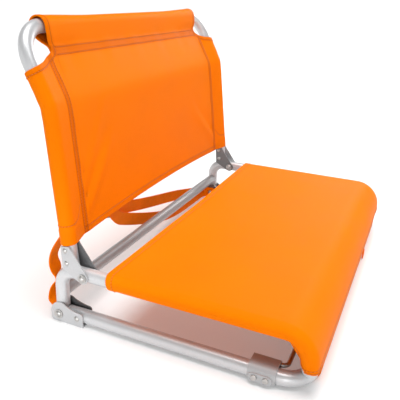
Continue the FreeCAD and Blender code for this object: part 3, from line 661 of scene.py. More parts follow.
@made_once
def paint_finish(f, tint, metallic, rough, shade_reach=None):
    """Silver paint on steel: fine flake, a soft orange-peel and faint rubbed patches.

    Within the last argument's distance of the middle of the seat, the sheet gets painted shade: a dark
    copy of its tint.
    """
    place = f.object_place()
    flake = f.noise(place, 2600.0, 2.0)
    peel = f.noise(place, 420.0, 2.0)
    rub = f.noise(place, 22.0, 4.0, 0.6)
    bright = tuple(min(c, 1.0) for c in tinted(tint, 1.06))
    base = f.mix(f.span(flake, 0.35, 0.65, 0.0, 1.0), tinted(tint, 0.86), bright)
    wear_and_shade = f.mix(f.span(rub, 0.52, 0.72, 0.0, 0.35), base, tinted(tint, 0.8))
    # Painted shade: near the middle of the seat the colour falls to a tenth of the tint.
    if shade_reach is not None:
        out = f.math("ABSOLUTE", f.parts(place)[0])
        wear_and_shade = f.mix(f.span(out, shade_reach - 0.001, shade_reach + 0.001, 0.8, 0.0), wear_and_shade, tinted(tint, 0.1))
    return f.set(Base_Color=wear_and_shade, Roughness=f.vary(rub, rough - 0.05, rough + 0.07),
                 Normal=f.bump(peel, 0.00012, 0.22), Metallic=metallic, Coat_Weight=0.2,
                 Coat_Roughness=0.2)


@made_once
def steel_finish(f, tint, rough, grain):
    """Bare or plated steel with fine drawn scratches and a little tarnish."""
    place = f.object_place()
    scratch = f.stretched_noise(place, grain, 3.0)
    tarnish = f.noise(place, 260.0, 3.0)
    base = f.mix(f.span(tarnish, 0.45, 0.75, 0.0, 0.5), tint, tinted(tint, 0.6))
    return f.set(Base_Color=base, Roughness=f.vary(scratch, rough - 0.08, rough + 0.1),
                 Normal=f.bump(scratch, 0.00006, 0.25), Metallic=1.0)


@made_once
def plastic_finish(f, tint, rough):
    """Moulded plastic with a fine spark texture."""
    place = f.object_place()
    spark = f.noise(place, 1500.0, 2.0)
    cloud = f.noise(place, 90.0, 2.0)
    return f.set(Base_Color=f.mix(f.vary(cloud, 0.0, 1.0), tinted(tint, 0.9), tint),
                 Roughness=f.vary(cloud, rough - 0.05, rough + 0.06), Normal=f.bump(spark, 0.00008, 0.3),
                 Specular_IOR_Level=0.45)


@made_once
def floor_finish(f, tint):
    """Plain matt paper with a faint glow of its own, so that it stays white in the picture."""
    cloud = f.noise(f.object_place(), 1.3, 2.0)
    return f.set(Base_Color=f.mix(f.vary(cloud, 0.0, 1.0), tinted(tint, 0.985), tint),
                 Roughness=f.vary(cloud, 0.85, 0.92), Specular_IOR_Level=0.1,
                 Emission_Color=(1.0, 1.0, 1.0), Emission_Strength=FLOOR_GLOW)


def dress(piece, material, body, node=None):
    """Give a piece its material and its body, and hide the CAD node it stands for."""
    piece.data.materials.append(material)
    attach(piece, body)
    if node:
        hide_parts(node)


def sew(name, cloth, body, runs):
    """Put the threads along a cover's rows of stitches."""
    threads = stitch_object(name, runs, cloth.pitch / MM, cloth.stitch / MM, cloth.thread / MM)
    dress(threads, thread_finish("sewing_thread"), body)


# The backrest's cover
def upright_line(s):
    """The upright's axis at a distance up it: y, z and how far it leans."""
    s = np.asarray(s, float)
    lean = LEAN + np.clip((s - BEND_START) / BEND_RADIUS, 0.0, BEND)
    below = np.minimum(s, BEND_START)
    beyond = np.maximum(s - BEND_END, 0.0)
    sine, cosine = math.sin(LEAN), math.cos(LEAN)
    y = FOOT_Y + sine * below + BEND_RADIUS * (cosine - np.cos(lean)) + np.sin(lean) * beyond
    z = FOOT_Z + cosine * below + BEND_RADIUS * (np.sin(lean) - sine) + np.cos(lean) * beyond
    return y, z, lean


def sleeve_loop(seam, band, radius, layer):
    """A sleeve's section: along its seam band, round the tube, and back behind the band.

    Each place is (distance from the tube's axis towards the panel, distance behind the panel).
    """
    turn = math.acos(radius / seam)
    angles = np.linspace(turn, 2 * math.pi - turn, 60)
    points = [(seam + band, -layer), (seam, -layer)]
    points += [(radius * math.cos(a), -radius * math.sin(a)) for a in angles]
    points += [(seam, layer), (seam + band, layer)]
    return Line(points, soften=1.8)


class BackCover:
    """Where each spot of the backrest's flat cloth goes."""

    def __init__(self, cloth):
        self.layer = cloth.thickness / MM * 0.55
        self.layer_half = cloth.thickness / MM / 2
        self.seam = cloth.seam_inset / MM
        self.band = cloth.seam_band / MM
        self.fold = cloth.fold / MM
        self.hem = cloth.hem / MM
        self.side = sleeve_loop(self.seam, self.band, CLOTH_REACH + 0.25, self.layer)
        self.top = sleeve_loop(TOP_SEAM, TOP_BAND, CLOTH_REACH + 0.25, self.layer)
        self.panel_half = HALF - self.seam - self.band
        self.sleeve_start = self.panel_half + self.band
        self.panel_top = TOP_S - TOP_SEAM - TOP_BAND
        self.cut_top = TOP_S - TOP_SEAM
        self.reach = self.panel_half + self.side.length
        self.end = self.panel_top + self.top.length
        self.notch = [(r, self.cut_top - drop) for r, drop in NOTCH_EDGE]

    def hem_line(self, across):
        r = np.abs(across)
        return BACK_HEM + HEM_ARCH * np.maximum(1.0 - (r / HEM_HALF) ** 2, 0.0)

    def end_line(self, across):
        """How far up a sleeve or the edge of a corner opening the cloth goes."""
        r, drop = np.array(NOTCH_EDGE).T
        return self.cut_top - np.interp(np.abs(across), r, drop)

    def widen(self, along):
        """How much wider the top sleeve is than the panel between the corner openings."""
        past = np.asarray(along, float) - self.cut_top
        return np.interp(past, [0.0, 8.0, 18.0, 60.0, 80.0], [1.0, 1.017, TOP_END / NOTCH_IN,
                                                            TOP_END / NOTCH_IN, 1.005])

    def folds(self, across, along):
        """How far the cloth stands behind its flat panel."""
        r = np.abs(across)
        side = np.sign(across)
        up = along - BACK_HEM
        inside = 1.0 - ease(self.panel_half - 30.0, self.panel_half + 6.0, r)
        sag = BACK_SAG * np.maximum(1.0 - (r / 195.0) ** 2, 0.0) * ease(0.0, 60.0, up)
        total = sag * (1.0 - ease(120.0, 200.0, up)) * inside
        inward = (HALF - self.seam) - r
        span = ease(2.0, 18.0, inward) * (1.0 - ease(48.0, 95.0, inward))
        for hand, start, slope, size in BACK_FOLDS:
            line = (up - start) - inward * slope
            crease = ridge(line, 0.0, 11.0) - 0.6 * ridge(line, 17.0, 10.0)
            total = total - np.where(side == hand, 1.0, 0.0) * size * self.fold * span * crease
        ripple = np.sin(across / 9.3) * 0.35 + np.sin(across / 5.1 + 1.3) * 0.2
        near_top = ease(self.panel_top - 34.0, self.panel_top - 4.0, along)
        near_top = near_top * (1.0 - ease(self.cut_top, self.cut_top + 14.0, along))
        total = total + ripple * near_top * inside
        pucker = np.sin(along / 6.7 + side) * 0.3 + np.sin(along / 3.9) * 0.18
        beside = ridge(r, self.panel_half - 4.0, 9.0)
        total = total + pucker * beside * (1.0 - ease(self.panel_top - 10.0, self.panel_top, along))
        return total

    def place(self, across, along):
        across = np.asarray(across, float)
        along = np.asarray(along, float)
        r = np.abs(across)
        loop = self.side.at(np.maximum(r - self.panel_half, 0.0))
        x = np.where(r < self.panel_half, r, HALF - loop[..., 0]) * np.sign(across) * self.widen(along)
        depth = np.where(r < self.panel_half, -self.layer, loop[..., 1])
        crease = np.sin(along / 3.1) * 0.35 * ridge(along, (BEND_START + BEND_END) / 2, 16.0)
        depth = depth + crease * ease(self.sleeve_start, self.sleeve_start + 12.0, r)
        below = 1.0 - ease(self.cut_top, self.cut_top + 10.0, along)
        depth = depth + self.folds(across, along) * below
        y, z, lean = upright_line(np.minimum(along, self.panel_top))
        over = self.top.at(np.maximum(along - self.panel_top, 0.0))
        loose = ease(90.0, NOTCH_IN, r) * ease(self.cut_top, self.cut_top + 16.0, along)
        loose = TOP_SLACK * loose * (1.0 - ease(self.end - 30.0, self.end - 12.0, along))
        over = over * (1.0 + loose)[..., None]
        past = np.where(along > self.panel_top, TOP_SEAM + TOP_BAND - over[..., 0], 0.0)
        depth = depth + np.where(along > self.panel_top, over[..., 1] + self.layer, 0.0)
        y = y + np.sin(lean) * past + np.cos(lean) * depth
        z = z + np.cos(lean) * past - np.sin(lean) * depth
        return np.stack([x, y, z], axis=-1)

    def edge_distance(self, across, along):
        """Distance from the corner opening's edge."""
        here = np.stack([np.abs(across), along], axis=-1).reshape(-1, 2)
        edge = Line(self.notch, soften=1.0)
        near = np.full(len(here), np.inf)
        for spot in edge.places[::2]:
            near = np.minimum(near, np.linalg.norm(here - spot, axis=1))
        above = (NOTCH_IN - np.abs(across)) * self.widen(along)
        return np.where(along > self.cut_top, above, near.reshape(np.shape(across)))

    def bands(self, across, along):
        """How much each spot is doubled by a hem or a seam band."""
        r = np.abs(across)
        low = along - self.hem_line(across)
        hem_wide = self.hem + 8.5 * ease(self.sleeve_start, self.sleeve_start + 14.0, r)
        hem = 1.0 - ease(hem_wide - 0.7, hem_wide + 0.7, low)
        edge = 1.0 - ease(5.8, 7.2, self.edge_distance(across, along))
        side = between(self.panel_half, self.sleeve_start, r)
        side = side * (1.0 - ease(self.cut_top - 6.0, self.cut_top, along))
        top = between(self.panel_top, self.cut_top, along) * (1.0 - ease(NOTCH_IN, NOTCH_IN + 2.0, r))
        return hem, edge, side, top

    def outer(self, bands):
        """How far the outer face stands off the middle of the cloth."""
        return self.layer_half * BACK_LAYER + BACK_RISE * np.maximum.reduce(bands)

    def sleeve_row(self, across):
        """How far up a sleeve its lower row of stitches runs."""
        return BACK_HEM + 22.0 + 14.0 * ridge(np.abs(across), self.sleeve_start, 10.0)

    def rows(self, across, along):
        """Distance of each spot from the rows of stitches."""
        r = np.abs(across)
        below = along < self.end_line(across) - 6.0
        inside = r < NOTCH_IN - 5.0
        hem = self.hem_line(across) + self.hem - HEM_STITCH
        hem = np.where(r > self.sleeve_start, self.sleeve_row(across), hem)
        distances = (np.where(below, r - self.panel_half - SEAM_STITCH, NO_ROW),
                     np.where(below, r - self.panel_half - self.band + SEAM_STITCH, NO_ROW),
                     np.where(inside, along - self.panel_top - TOP_STITCH, NO_ROW),
                     np.where(inside, along - self.cut_top + SEAM_STITCH, NO_ROW),
                     along - hem, self.edge_distance(across, along) - NOTCH_STITCH)
        return dict(zip(STITCH_MARKS, distances))

    def stitch_paths(self):
        """Runs of flat places along each row of stitches."""
        paths = []
        for hand in (-1, 1):
            for inset in (SEAM_STITCH, self.band - SEAM_STITCH):
                x = self.panel_half + inset
                top = float(self.end_line(x)) - 7.0
                up = np.linspace(BACK_HEM + 2.0, top, 90)
                paths.append((np.full_like(up, hand * x), up))
        wide = np.linspace(-NOTCH_IN + 7.0, NOTCH_IN - 7.0, 160)
        for inset in (TOP_STITCH, TOP_BAND - SEAM_STITCH):
            paths.append((wide, np.full_like(wide, self.panel_top + inset)))
        for hand in (-1, 1):
            sleeve = np.linspace(self.sleeve_start + 0.5, self.reach - self.band - 1.0, 70)
            paths.append((hand * sleeve, self.sleeve_row(sleeve)))
            edge = Line(self.notch, soften=1.5)
            way = unit(np.gradient(edge.places, axis=0))
            inside = edge.places + np.stack([way[:, 1], -way[:, 0]], axis=1) * NOTCH_STITCH
            over = np.linspace(NOTCH_EDGE[-1][0], self.reach - self.band - 1.0, 40)
            x = np.concatenate([inside[::6, 0], over])
            up = np.concatenate([inside[::6, 1], self.end_line(over) - NOTCH_STITCH])
            paths.append((hand * x, up))
        low = np.linspace(-self.panel_half - 1.0, self.panel_half + 1.0, 170)
        paths.append((low, self.hem_line(low) + self.hem - HEM_STITCH))
        return paths


def surface_runs(cover, step):
    """Places and normals on a cover's outer face along each of its rows of stitches."""
    beside = 0.4
    runs = []
    for x, s in cover.stitch_paths():
        s = np.broadcast_to(s, x.shape)
        du = cover.place(x + beside, s) - cover.place(x - beside, s)
        dv = cover.place(x, s + step) - cover.place(x, s - step)
        normal = unit(np.cross(du, dv))
        runs.append((cover.place(x, s) + normal * cover.outer(cover.bands(x, s))[:, None], normal))
    return runs


class SEAT_OT_back_cover(bpy.types.Operator):
    """Sew the backrest's cover: a panel with a sleeve round each upright and round the top bar"""
    bl_idname = "stadium_seat.back_cover"
    bl_label = "Back cover"

    def execute(self, context):
        cloth = context.scene.seat_cloth
        cover = BackCover(cloth)
        middle = np.linspace(0.0, NOTCH_IN, 36)
        notch = NOTCH_IN + NOTCH_WIDE * (1.0 - np.cos(np.radians(np.linspace(0.0, 90.0, 28)[1:])))
        sleeve = np.linspace(NOTCH_IN + NOTCH_WIDE, cover.reach, 46)[1:]
        half_columns = np.concatenate([middle, notch, sleeve])
        columns = np.concatenate([-half_columns[:0:-1], half_columns])
        run = cover.cut_top - BACK_HEM
        rows = np.concatenate([np.linspace(0.0, 20.0, 21), np.linspace(23.0, run - 34.0, 48),
                               np.linspace(run - 32.5, run, 27)]) / run
        low = cover.hem_line(columns)
        high = cover.end_line(columns)
        grid_x = np.repeat(columns[:, None], len(rows), axis=1)
        grid_s = low[:, None] + (high - low)[:, None] * rows[None, :]
        upper = np.concatenate([np.linspace(cover.cut_top, cover.end - 14.0, 46)[1:],
                                np.linspace(cover.end - 12.5, cover.end, 9)])
        inside = np.where(np.abs(columns) <= NOTCH_IN + 1e-6)[0]
        count = grid_x.size
        ids = np.arange(count).reshape(grid_x.shape)
        top_ids = count + np.arange(len(inside) * len(upper)).reshape(len(inside), len(upper))
        top_ids = np.concatenate([ids[inside][:, -1:], top_ids], axis=1)
        across = np.concatenate([grid_x.ravel(), np.repeat(columns[inside], len(upper))])
        along = np.concatenate([grid_s.ravel(), np.tile(upper, len(inside))])
        cells = np.concatenate([grid_cells(block, flip=True) for block in (ids, top_ids)])
        places = cover.place(across, along)
        bands = hem, edge, side, top = cover.bands(across, along)
        outer = cover.outer(bands)
        inner = cover.layer_half * BACK_LAYER + 0.3 * np.maximum(hem, edge)
        # The seam mark is painted shade on the sleeve and top bands, the corner openings' edges and the
        # hem.
        marks = {"seam": np.clip(0.85 * side + 0.75 * top + 0.4 * edge + 0.2 * hem, 0.0, 1.0)}
        marks.update(cover.rows(across, along))
        flat = np.stack([across, along], axis=1)
        piece = cloth_object("back_cover_cloth", places, cells, flat, outer, inner, marks)
        dress(piece, cloth_finish("cover_cloth"), "backrest", "back_cover")
        (cover.end - BACK_HEM) * MM
        sheet_area(places, cells)
        sew("back_cover_stitching", cloth, "backrest", surface_runs(cover, 0.4))
        return {"FINISHED"}


# The seat's cover
FRONT_LEG = Line([(HALF, FRONT_LEG_Y, FOLD_Z + 12.0), (HALF, FRONT_LEG_Y, KNEE_Z),
                  (HALF - FOOT_INSET, FRONT_LEG_Y + FOOT_SETBACK, FOOT_LINE_Z)], soften=3.6)


def front_leg(z):
    """The front leg's axis at a height, x and y, and how much wider its level section is."""
    x, y, height = FRONT_LEG.places[::-1].T
    run = np.gradient(FRONT_LEG.places[::-1], axis=0)
    wide = np.linalg.norm(run, axis=1) / run[:, 2]
    return np.interp(z, height, x), np.interp(z, height, y), np.interp(z, height, wide)


class SeatCover:
    """Where each spot of the seat's flat cloth goes.

    Across, the cloth is read from the middle of the top, round a rail and in under the seat. Along, it
    is read from the rear hem: 0 to 1 to the front fold, 1 to 2 round the fold, 2 to 3 down to the funnel
    at each front corner, and 3 to 4 round the front bar.
    """

    def __init__(self, cloth):
        self.radius = CLOTH_REACH
        self.under = HALF + math.pi * self.radius
        self.reach = self.under + HALF - LACE_EDGE
        self.hem = cloth.hem / MM
        front = FRONT_LEG_Y - self.radius
        angles = np.radians(np.linspace(183.0, 180.0 + HEM_TURN, 30))
        points = [(front, FOLD_Z + 2.0), (front, FOLD_Z)]
        points += [(BAR_Y + self.radius * math.cos(a), BASE_Z + self.radius * math.sin(a))
                   for a in angles]
        self.skirt = Line(points, soften=1.2)
        funnel_mark = float(self.skirt.marks[np.argmax(self.skirt.places[:, 1] < FUNNEL_Z)])
        self.drop = funnel_mark - SKIRT_START
        self.hem_run = self.skirt.length - funnel_mark
        self.layer_half = cloth.thickness / MM / 2

    def rear_line(self, across):
        r = np.abs(across)
        under = (SEAT_REAR_UNDER - SEAT_REAR) * ease(HALF - 4.0, self.under, r)
        return SEAT_REAR + under - 1.2 * (1.0 - ease(0.0, 200.0, r))

    def sag(self, across, y):
        r = np.abs(across)
        rear = ease(SEAT_REAR, SEAT_REAR - 60.0, y)
        dip = SEAT_SAG * np.maximum(1.0 - (r / (HALF - 12.0)) ** 2, 0.0) * (0.45 + 0.55 * rear)
        ripple = np.sin(across / 31.0 + y / 57.0) * 0.35 * np.maximum(1.0 - (r / HALF) ** 2, 0.0)
        return dip + ripple

    def pulls(self, x, y):
        """How far the flaps are drawn up between the eyelets, in folds that fade towards the rails."""
        away = np.abs(x) - EYELET_X
        fade = np.where(away > 0, np.exp(-away / 55.0), np.exp(away / 9.0))
        fade = fade * ease(HALF, HALF - 30.0, np.abs(x))
        total = np.zeros_like(y)
        for near, far in zip(LACE_ROWS, LACE_ROWS[1:]):
            gap = near - far
            share = np.clip((near - y) / gap, 0.0, 1.0)
            hump = np.sin(np.pi * share) ** 2 * np.where((y <= near) & (y >= far), 1.0, 0.0)
            total = total + hump * min(gap / 26.0, 1.6)
        slant = 1.0 + 0.35 * np.sin(y / 11.0 + x / 23.0)
        return LACE_DRAW * total * fade * slant

    def place(self, across, along):
        across, along = np.broadcast_arrays(np.asarray(across, float), np.asarray(along, float))
        r = np.abs(across)
        side = np.sign(across)
        theta = np.clip((r - HALF) / self.radius, 0.0, math.pi)
        rear = self.rear_line(across)
        y_flat = rear + (FOLD_Y - rear) * np.clip(along, 0.0, 1.0)
        on_flap = r > self.under
        flap_end = FLAP_FRONT + (FOLD_Y - FLAP_FRONT) * (1.0 - ease(self.under, self.under + 26.0, r))
        y_past = FOLD_Y + (flap_end - FOLD_Y) * np.clip(along - 1.0, 0.0, 1.0)
        y_flap = np.where(along > 1.0, y_past, y_flat)
        x_round = np.minimum(r, HALF) + self.radius * np.sin(theta)
        x_flat = np.where(on_flap, HALF - (r - self.under), x_round)
        ring = self.radius * np.cos(theta)
        dip = self.sag(across, y_flat) * (r < HALF)
        z_top = RAIL_Z + ring - dip
        z_flat = np.where(on_flap, RAIL_Z - self.radius + self.pulls(x_flat, y_flap), z_top)
        flat = np.stack([x_flat * side, np.where(on_flap, y_flap, y_flat), z_flat], axis=-1)

        alpha = np.clip(along - 1.0, 0.0, 1.0) * math.pi / 2
        rho = FOLD_RADIUS + ring - dip * np.cos(alpha) ** 0.5
        pinch = 2.2 * ridge(theta, 2.75, 0.4) * ridge(along, 1.25, 0.14)
        bent = np.stack([(x_flat - pinch) * side, FOLD_Y - rho * np.sin(alpha),
                         FOLD_Z + rho * np.cos(alpha)], axis=-1)

        down = np.clip(along - 2.0, 0.0, 1.0) * self.drop + SKIRT_START
        around = np.clip(along - 3.0, 0.0, 1.0) * self.hem_run
        run = self.skirt.at(down + around)
        lift = 2.5 * ease(0.5, 2.2, theta) * np.clip(along - 2.0, 0.0, 1.0) ** 2
        height = np.where(along > 3.0, FUNNEL_Z, run[..., 1]) + lift
        leg_x, leg_y, leg_wide = front_leg(height)
        draw = (HALF - leg_x) * ease(HALF - 32.0, HALF, r)
        mouth = 10.0 * ease(-1.0, 8.0, around) * ease(190.0, HEM_COLUMNS, r)
        gather = theta * (1.0 - 0.38 * ease(1.6, 2.9, along))
        onto_leg = ease(HALF - 26.0, HALF, r)
        front_y = run[..., 0] + (leg_y - self.radius - run[..., 0]) * onto_leg * (along <= 3.0)
        skirt_y = np.where(r > HALF, leg_y - self.radius * np.cos(gather), front_y)
        skirt_x = np.where(r > HALF, leg_x + self.radius * leg_wide * np.sin(gather), r - draw - mouth)
        hang = np.stack([skirt_x * side, skirt_y, run[..., 1] + lift], axis=-1)
        past_fold = (along > 1.0)[..., None] & ~on_flap[..., None]
        past_bend = (along > 2.0)[..., None] & ~on_flap[..., None]
        return np.where(past_bend, hang, np.where(past_fold, bent, flat))

    def bands(self, across, along):
        """How much each spot is doubled by a hem."""
        r = np.abs(across)
        run = self.rear_line(across) - FOLD_Y
        rear = 1.0 - ease(self.hem - 0.7, self.hem + 0.7, along * run)
        lace = ease(self.reach - 12.5, self.reach - 11.0, r)
        flap_front = ease(1.45, 1.6, along) * (r > self.under)
        on_body = r <= self.under
        funnel = ease(2.55, 2.7, along) * ease(HEM_COLUMNS, HEM_COLUMNS + 4.0, r) * on_body
        slit = ease(self.under - 5.0, self.under - 4.0, r) * (along > 1.04) * on_body
        down = (along - 2.0) * self.drop
        around = np.maximum(along - 3.0, 0.0) * self.hem_run
        front = ease(-1.0, 1.0, down + around - self.drop + 9.0) * (along > 2.0) * (r < HALF)
        return rear, np.maximum(lace, flap_front), np.maximum(funnel, slit), front

    def outer(self, bands):
        """How far the outer face stands off the middle of the cloth."""
        rear, _, funnel, front = bands
        return self.layer_half * SEAT_LAYER + SEAT_RISE * np.maximum.reduce([rear, funnel, front])

    def rows(self, across, along):
        """Distance of each spot from the rows of stitches."""
        r = np.abs(across)
        lift = (3.0 - along) * self.drop
        hangs = (along > 2.0) & (along <= 3.0)
        skirt = hangs & (r <= HEM_COLUMNS)
        ring = hangs & (r > HEM_COLUMNS) & (r <= self.under)
        rear = along * (self.rear_line(across) - FOLD_Y) - self.hem + HEM_STITCH
        slit = np.where((along > 1.04) & (r <= self.under), self.under - r - SLIT_STITCH, NO_ROW)
        lace = np.where(r > self.under + 60.0, self.reach - r - LACE_STITCH, slit)
        distances = [rear]
        for spots, insets in ((skirt, SKIRT_STITCHES), (ring, FUNNEL_STITCHES)):
            distances += [np.where(spots, lift - inset, NO_ROW) for inset in insets]
        return dict(zip(STITCH_MARKS, distances + [lace]))

    def stitch_paths(self):
        """Runs of flat places along each row of stitches."""
        edge = np.linspace(-self.reach + 3.0, self.reach - 3.0, 420)
        paths = [(edge, (self.hem - HEM_STITCH) / (self.rear_line(edge) - FOLD_Y))]
        wide = np.linspace(-HEM_COLUMNS + 2.0, HEM_COLUMNS - 2.0, 200)
        paths += [(wide, np.full_like(wide, 3.0 - lift / self.drop)) for lift in SKIRT_STITCHES]
        ring = np.linspace(HEM_COLUMNS + 1.0, self.under - 1.0, 30)
        up = np.linspace(1.08, 2.6, 40)
        lace = np.linspace(0.06, 1.0, 120)
        for hand in (-1, 1):
            paths += [(hand * ring, np.full_like(ring, 3.0 - lift / self.drop))
                      for lift in FUNNEL_STITCHES]
            paths.append((np.full_like(up, hand * (self.under - SLIT_STITCH)), up))
            paths.append((np.full_like(lace, hand * (self.reach - LACE_STITCH)), lace))
        return paths


class SEAT_OT_seat_cover(bpy.types.Operator):
    """Sew the seat's cover: round both rails, laced below, with a front skirt round the front bar"""
    bl_idname = "stadium_seat.seat_cover"
    bl_label = "Seat cover"

    def execute(self, context):
        cloth = context.scene.seat_cloth
        cover = SeatCover(cloth)
        top = np.concatenate([np.linspace(0.0, 190.0, 28), np.linspace(194.0, HALF, 14)])
        top[np.argmin(np.abs(top - HEM_COLUMNS))] = HEM_COLUMNS
        ring = np.linspace(HALF, cover.under, 19)[1:]
        near_lace = [53.5, EYELET_X + EYELET_HOLE, EYELET_X, EYELET_X - EYELET_HOLE,
                     39.5, 36.5, 33.5, 30.5, LACE_EDGE]
        flap_x = np.concatenate([np.linspace(HALF, 58.0, 36)[1:], near_lace])
        flap = cover.under + HALF - flap_x
        half_columns = np.concatenate([top, ring, flap])
        columns = np.concatenate([-half_columns[:0:-1], half_columns])

        run = SEAT_REAR_UNDER - FOLD_Y
        marks = set(np.round(np.linspace(0.0, 11.0, 11), 3))
        round_hole = (-EYELET_HOLE - 2.4, -EYELET_HOLE, 0.0, EYELET_HOLE, EYELET_HOLE + 2.4)
        for y in LACE_ROWS:
            marks |= {round(SEAT_REAR_UNDER - y + d, 3) for d in round_hole}
        for d in np.linspace(14.0, run - 3.0, 46):
            if min(abs(d - m) for m in marks) > 2.2:
                marks.add(round(float(d), 3))
        rows = np.array(sorted(m for m in marks if m < run - 0.5) + [run]) / run
        flap_run = FOLD_Y - FLAP_FRONT
        flap_marks = sorted(m - run for m in marks if m > run)
        flap_rows = np.array([m / flap_run for m in flap_marks if m < flap_run - 0.5] + [1.0])
        bend_rows = np.linspace(0.0, 1.0, 19)[1:]
        down_rows = np.linspace(0.0, 1.0, 13)[1:]
        hem_rows = np.linspace(0.0, 1.0, 22)[1:]
        r = np.abs(columns)
        body = np.where(r <= cover.under + 1e-6)[0]
        hem = np.where(r <= HEM_COLUMNS + 1e-6)[0]
        across, along, cells = [], [], []

        def add_block(picked, steps, joined=None):
            start = sum(len(a) for a in across)
            across.append(np.repeat(columns[picked], len(steps)))
            along.append(np.tile(steps, len(picked)))
            ids = start + np.arange(len(picked) * len(steps)).reshape(len(picked), len(steps))
            if joined is not None:
                ids = np.concatenate([joined[:, None], ids], axis=1)
            cells.append(grid_cells(ids))
            return ids

        main = add_block(np.arange(len(columns)), rows)
        front = add_block(body, np.concatenate([1.0 + bend_rows, 2.0 + down_rows]), main[body][:, -1])
        add_block(hem, 3.0 + hem_rows, front[np.isin(body, hem)][:, -1])
        for hand in (-1, 1):
            picked = np.where((r >= cover.under - 1e-6) & (np.sign(columns) == hand))[0]
            add_block(picked, 1.0 + flap_rows, main[picked][:, -1])
        across, along, cells = (np.concatenate(blocks) for blocks in (across, along, cells))
        places, cells = cut_eyelets(cover.place(across, along), cells)

        bands = _, lace, funnel, front_hem = cover.bands(across, along)
        outer = cover.outer(bands)
        inner = np.full(len(outer), cover.layer_half * 0.8)
        # The seam mark is painted shade on the lacing edges, the flaps' fronts, the funnels, the slits
        # and the front hem.
        marks = {"seam": np.clip(0.3 * lace + 0.25 * funnel + 0.5 * front_hem, 0.0, 1.0)}
        marks.update(cover.rows(across, along))
        flat_run = np.where(along <= 1.0, along * run, run + (along - 1.0) * FLAT_STEP)
        flat = np.stack([across, flat_run], axis=1)
        piece = cloth_object("seat_cover_cloth", places, cells, flat, outer, inner, marks)
        dress(piece, cloth_finish("cover_cloth"), "base", "seat_cover")
        sheet_area(places, cells)
        sew("seat_cover_stitching", cloth, "base", surface_runs(cover, -0.004))
        return {"FINISHED"}


def cut_eyelets(places, cells):
    """Open a round hole in the flaps at every eyelet."""
    flap_z = RAIL_Z - CLOTH_REACH
    keep = np.ones(len(cells), bool)
    centres = places[cells].mean(axis=1)
    for y in LACE_ROWS:
        for x in (-EYELET_X, EYELET_X):
            near = (np.abs(centres[:, 0] - x) < EYELET_HOLE) & (np.abs(centres[:, 1] - y) < EYELET_HOLE)
            keep &= ~(near & (centres[:, 2] < RAIL_Z))
            offset = places[:, :2] - np.array([x, y])
            ring = (np.abs(offset).max(axis=1) < EYELET_HOLE + 0.3) & (places[:, 2] < RAIL_Z)
            away = np.linalg.norm(offset, axis=1)
            move = ring & (away > 1.0)
            places[move, :2] = np.array([x, y]) + offset[move] / away[move, None] * EYELET_HOLE
            places[move, 2] = flap_z
    return places, cells[keep]


# The strap
def webbing_object(name, route, cords):
    """A flat strap whose two edges follow smooth curves either side of its route."""
    half = cords.strap_width / MM / 2
    thick = cords.strap_thickness / MM / 2
    count = len(route)
    edges = ([], [])
    for i, (place, wide) in enumerate(route):
        along = Vector(route[min(i + 1, count - 1)][0]) - Vector(route[max(i - 1, 0)][0])
        thin = along.cross(Vector(wide)).normalized()
        across = thin.cross(along).normalized() * half * MM
        edges[0].append(Vector(place) - across)
        edges[1].append(Vector(place) + across)
    first = spline_points(edges[0], 14) / MM
    second = spline_points(edges[1], 14) / MM
    middle = (first + second) / 2
    along = unit(np.gradient(middle, axis=0))
    across = unit(second - first)
    thin = unit(np.cross(along, across))
    across = np.cross(thin, along)
    marks = run_marks(middle)
    edge = [(half, 0.0), (half - 0.35, 0.85), (half - 1.2, 1.0), (half - 2.2, 0.86)]
    upper = [(-wide, share * thick) for wide, share in edge] + [(0.0, thick * 0.86)]
    outline = upper + [(wide, share * thick) for wide, share in edge[::-1]]
    outline += [(-wide, -deep) for wide, deep in outline[1:-1]]
    points, flat = [], []
    for i in range(len(middle)):
        for wide, deep in outline:
            points.append(middle[i] + across[i] * wide + thin[i] * deep)
            flat.append((wide, marks[i]))
    return mesh_object(name, points, skin_faces(len(middle), len(outline)), flat), middle, marks[-1]


class SEAT_OT_carry_strap(bpy.types.Operator):
    """Lay the carry strap from one lower bracket to the other, and its tail below it"""
    bl_idname = "stadium_seat.carry_strap"
    bl_label = "Carry strap"

    def execute(self, context):
        cords = context.scene.seat_cords
        for name, node, route, held in (
                ("carry_strap_webbing", "carry_strap", STRAP_ROUTE, ["strap_slider"]),
                ("strap_tail_webbing", "strap_tail", TAIL_ROUTE, [])):
            piece, middle, run = webbing_object(name, route, cords)
            dress(piece, webbing_finish("strap_webbing_ribbed"), "base", node)
            path = [tuple(p) for p in middle[::4] * MM]
            path[-1] = tuple(middle[-1] * MM)
            run * MM
        return {"FINISHED"}


# The lacing
def lace_strand(hand, outside):
    """One zigzag of the lace: across below the flaps, round the far flap's edge, out of its eyelet."""
    rows = LACE_ROWS[1:]
    route = [(hand * LACE_END_X, rows[0], LACE_ABOVE), (hand * EYELET_X, rows[0], LACE_ABOVE),
             (hand * EYELET_X, rows[0], outside)]
    share = (EYELET_X + LACE_TURN_X) / (2 * EYELET_X)
    for near, far in zip(rows, rows[1:]):
        dive = near + (far - near) * share
        route += [(-hand * LACE_TURN_X, dive, outside), (-hand * LACE_TURN_X, dive, LACE_ABOVE),
                  (-hand * EYELET_X, far, LACE_ABOVE), (-hand * EYELET_X, far, outside)]
        hand = -hand
    return route


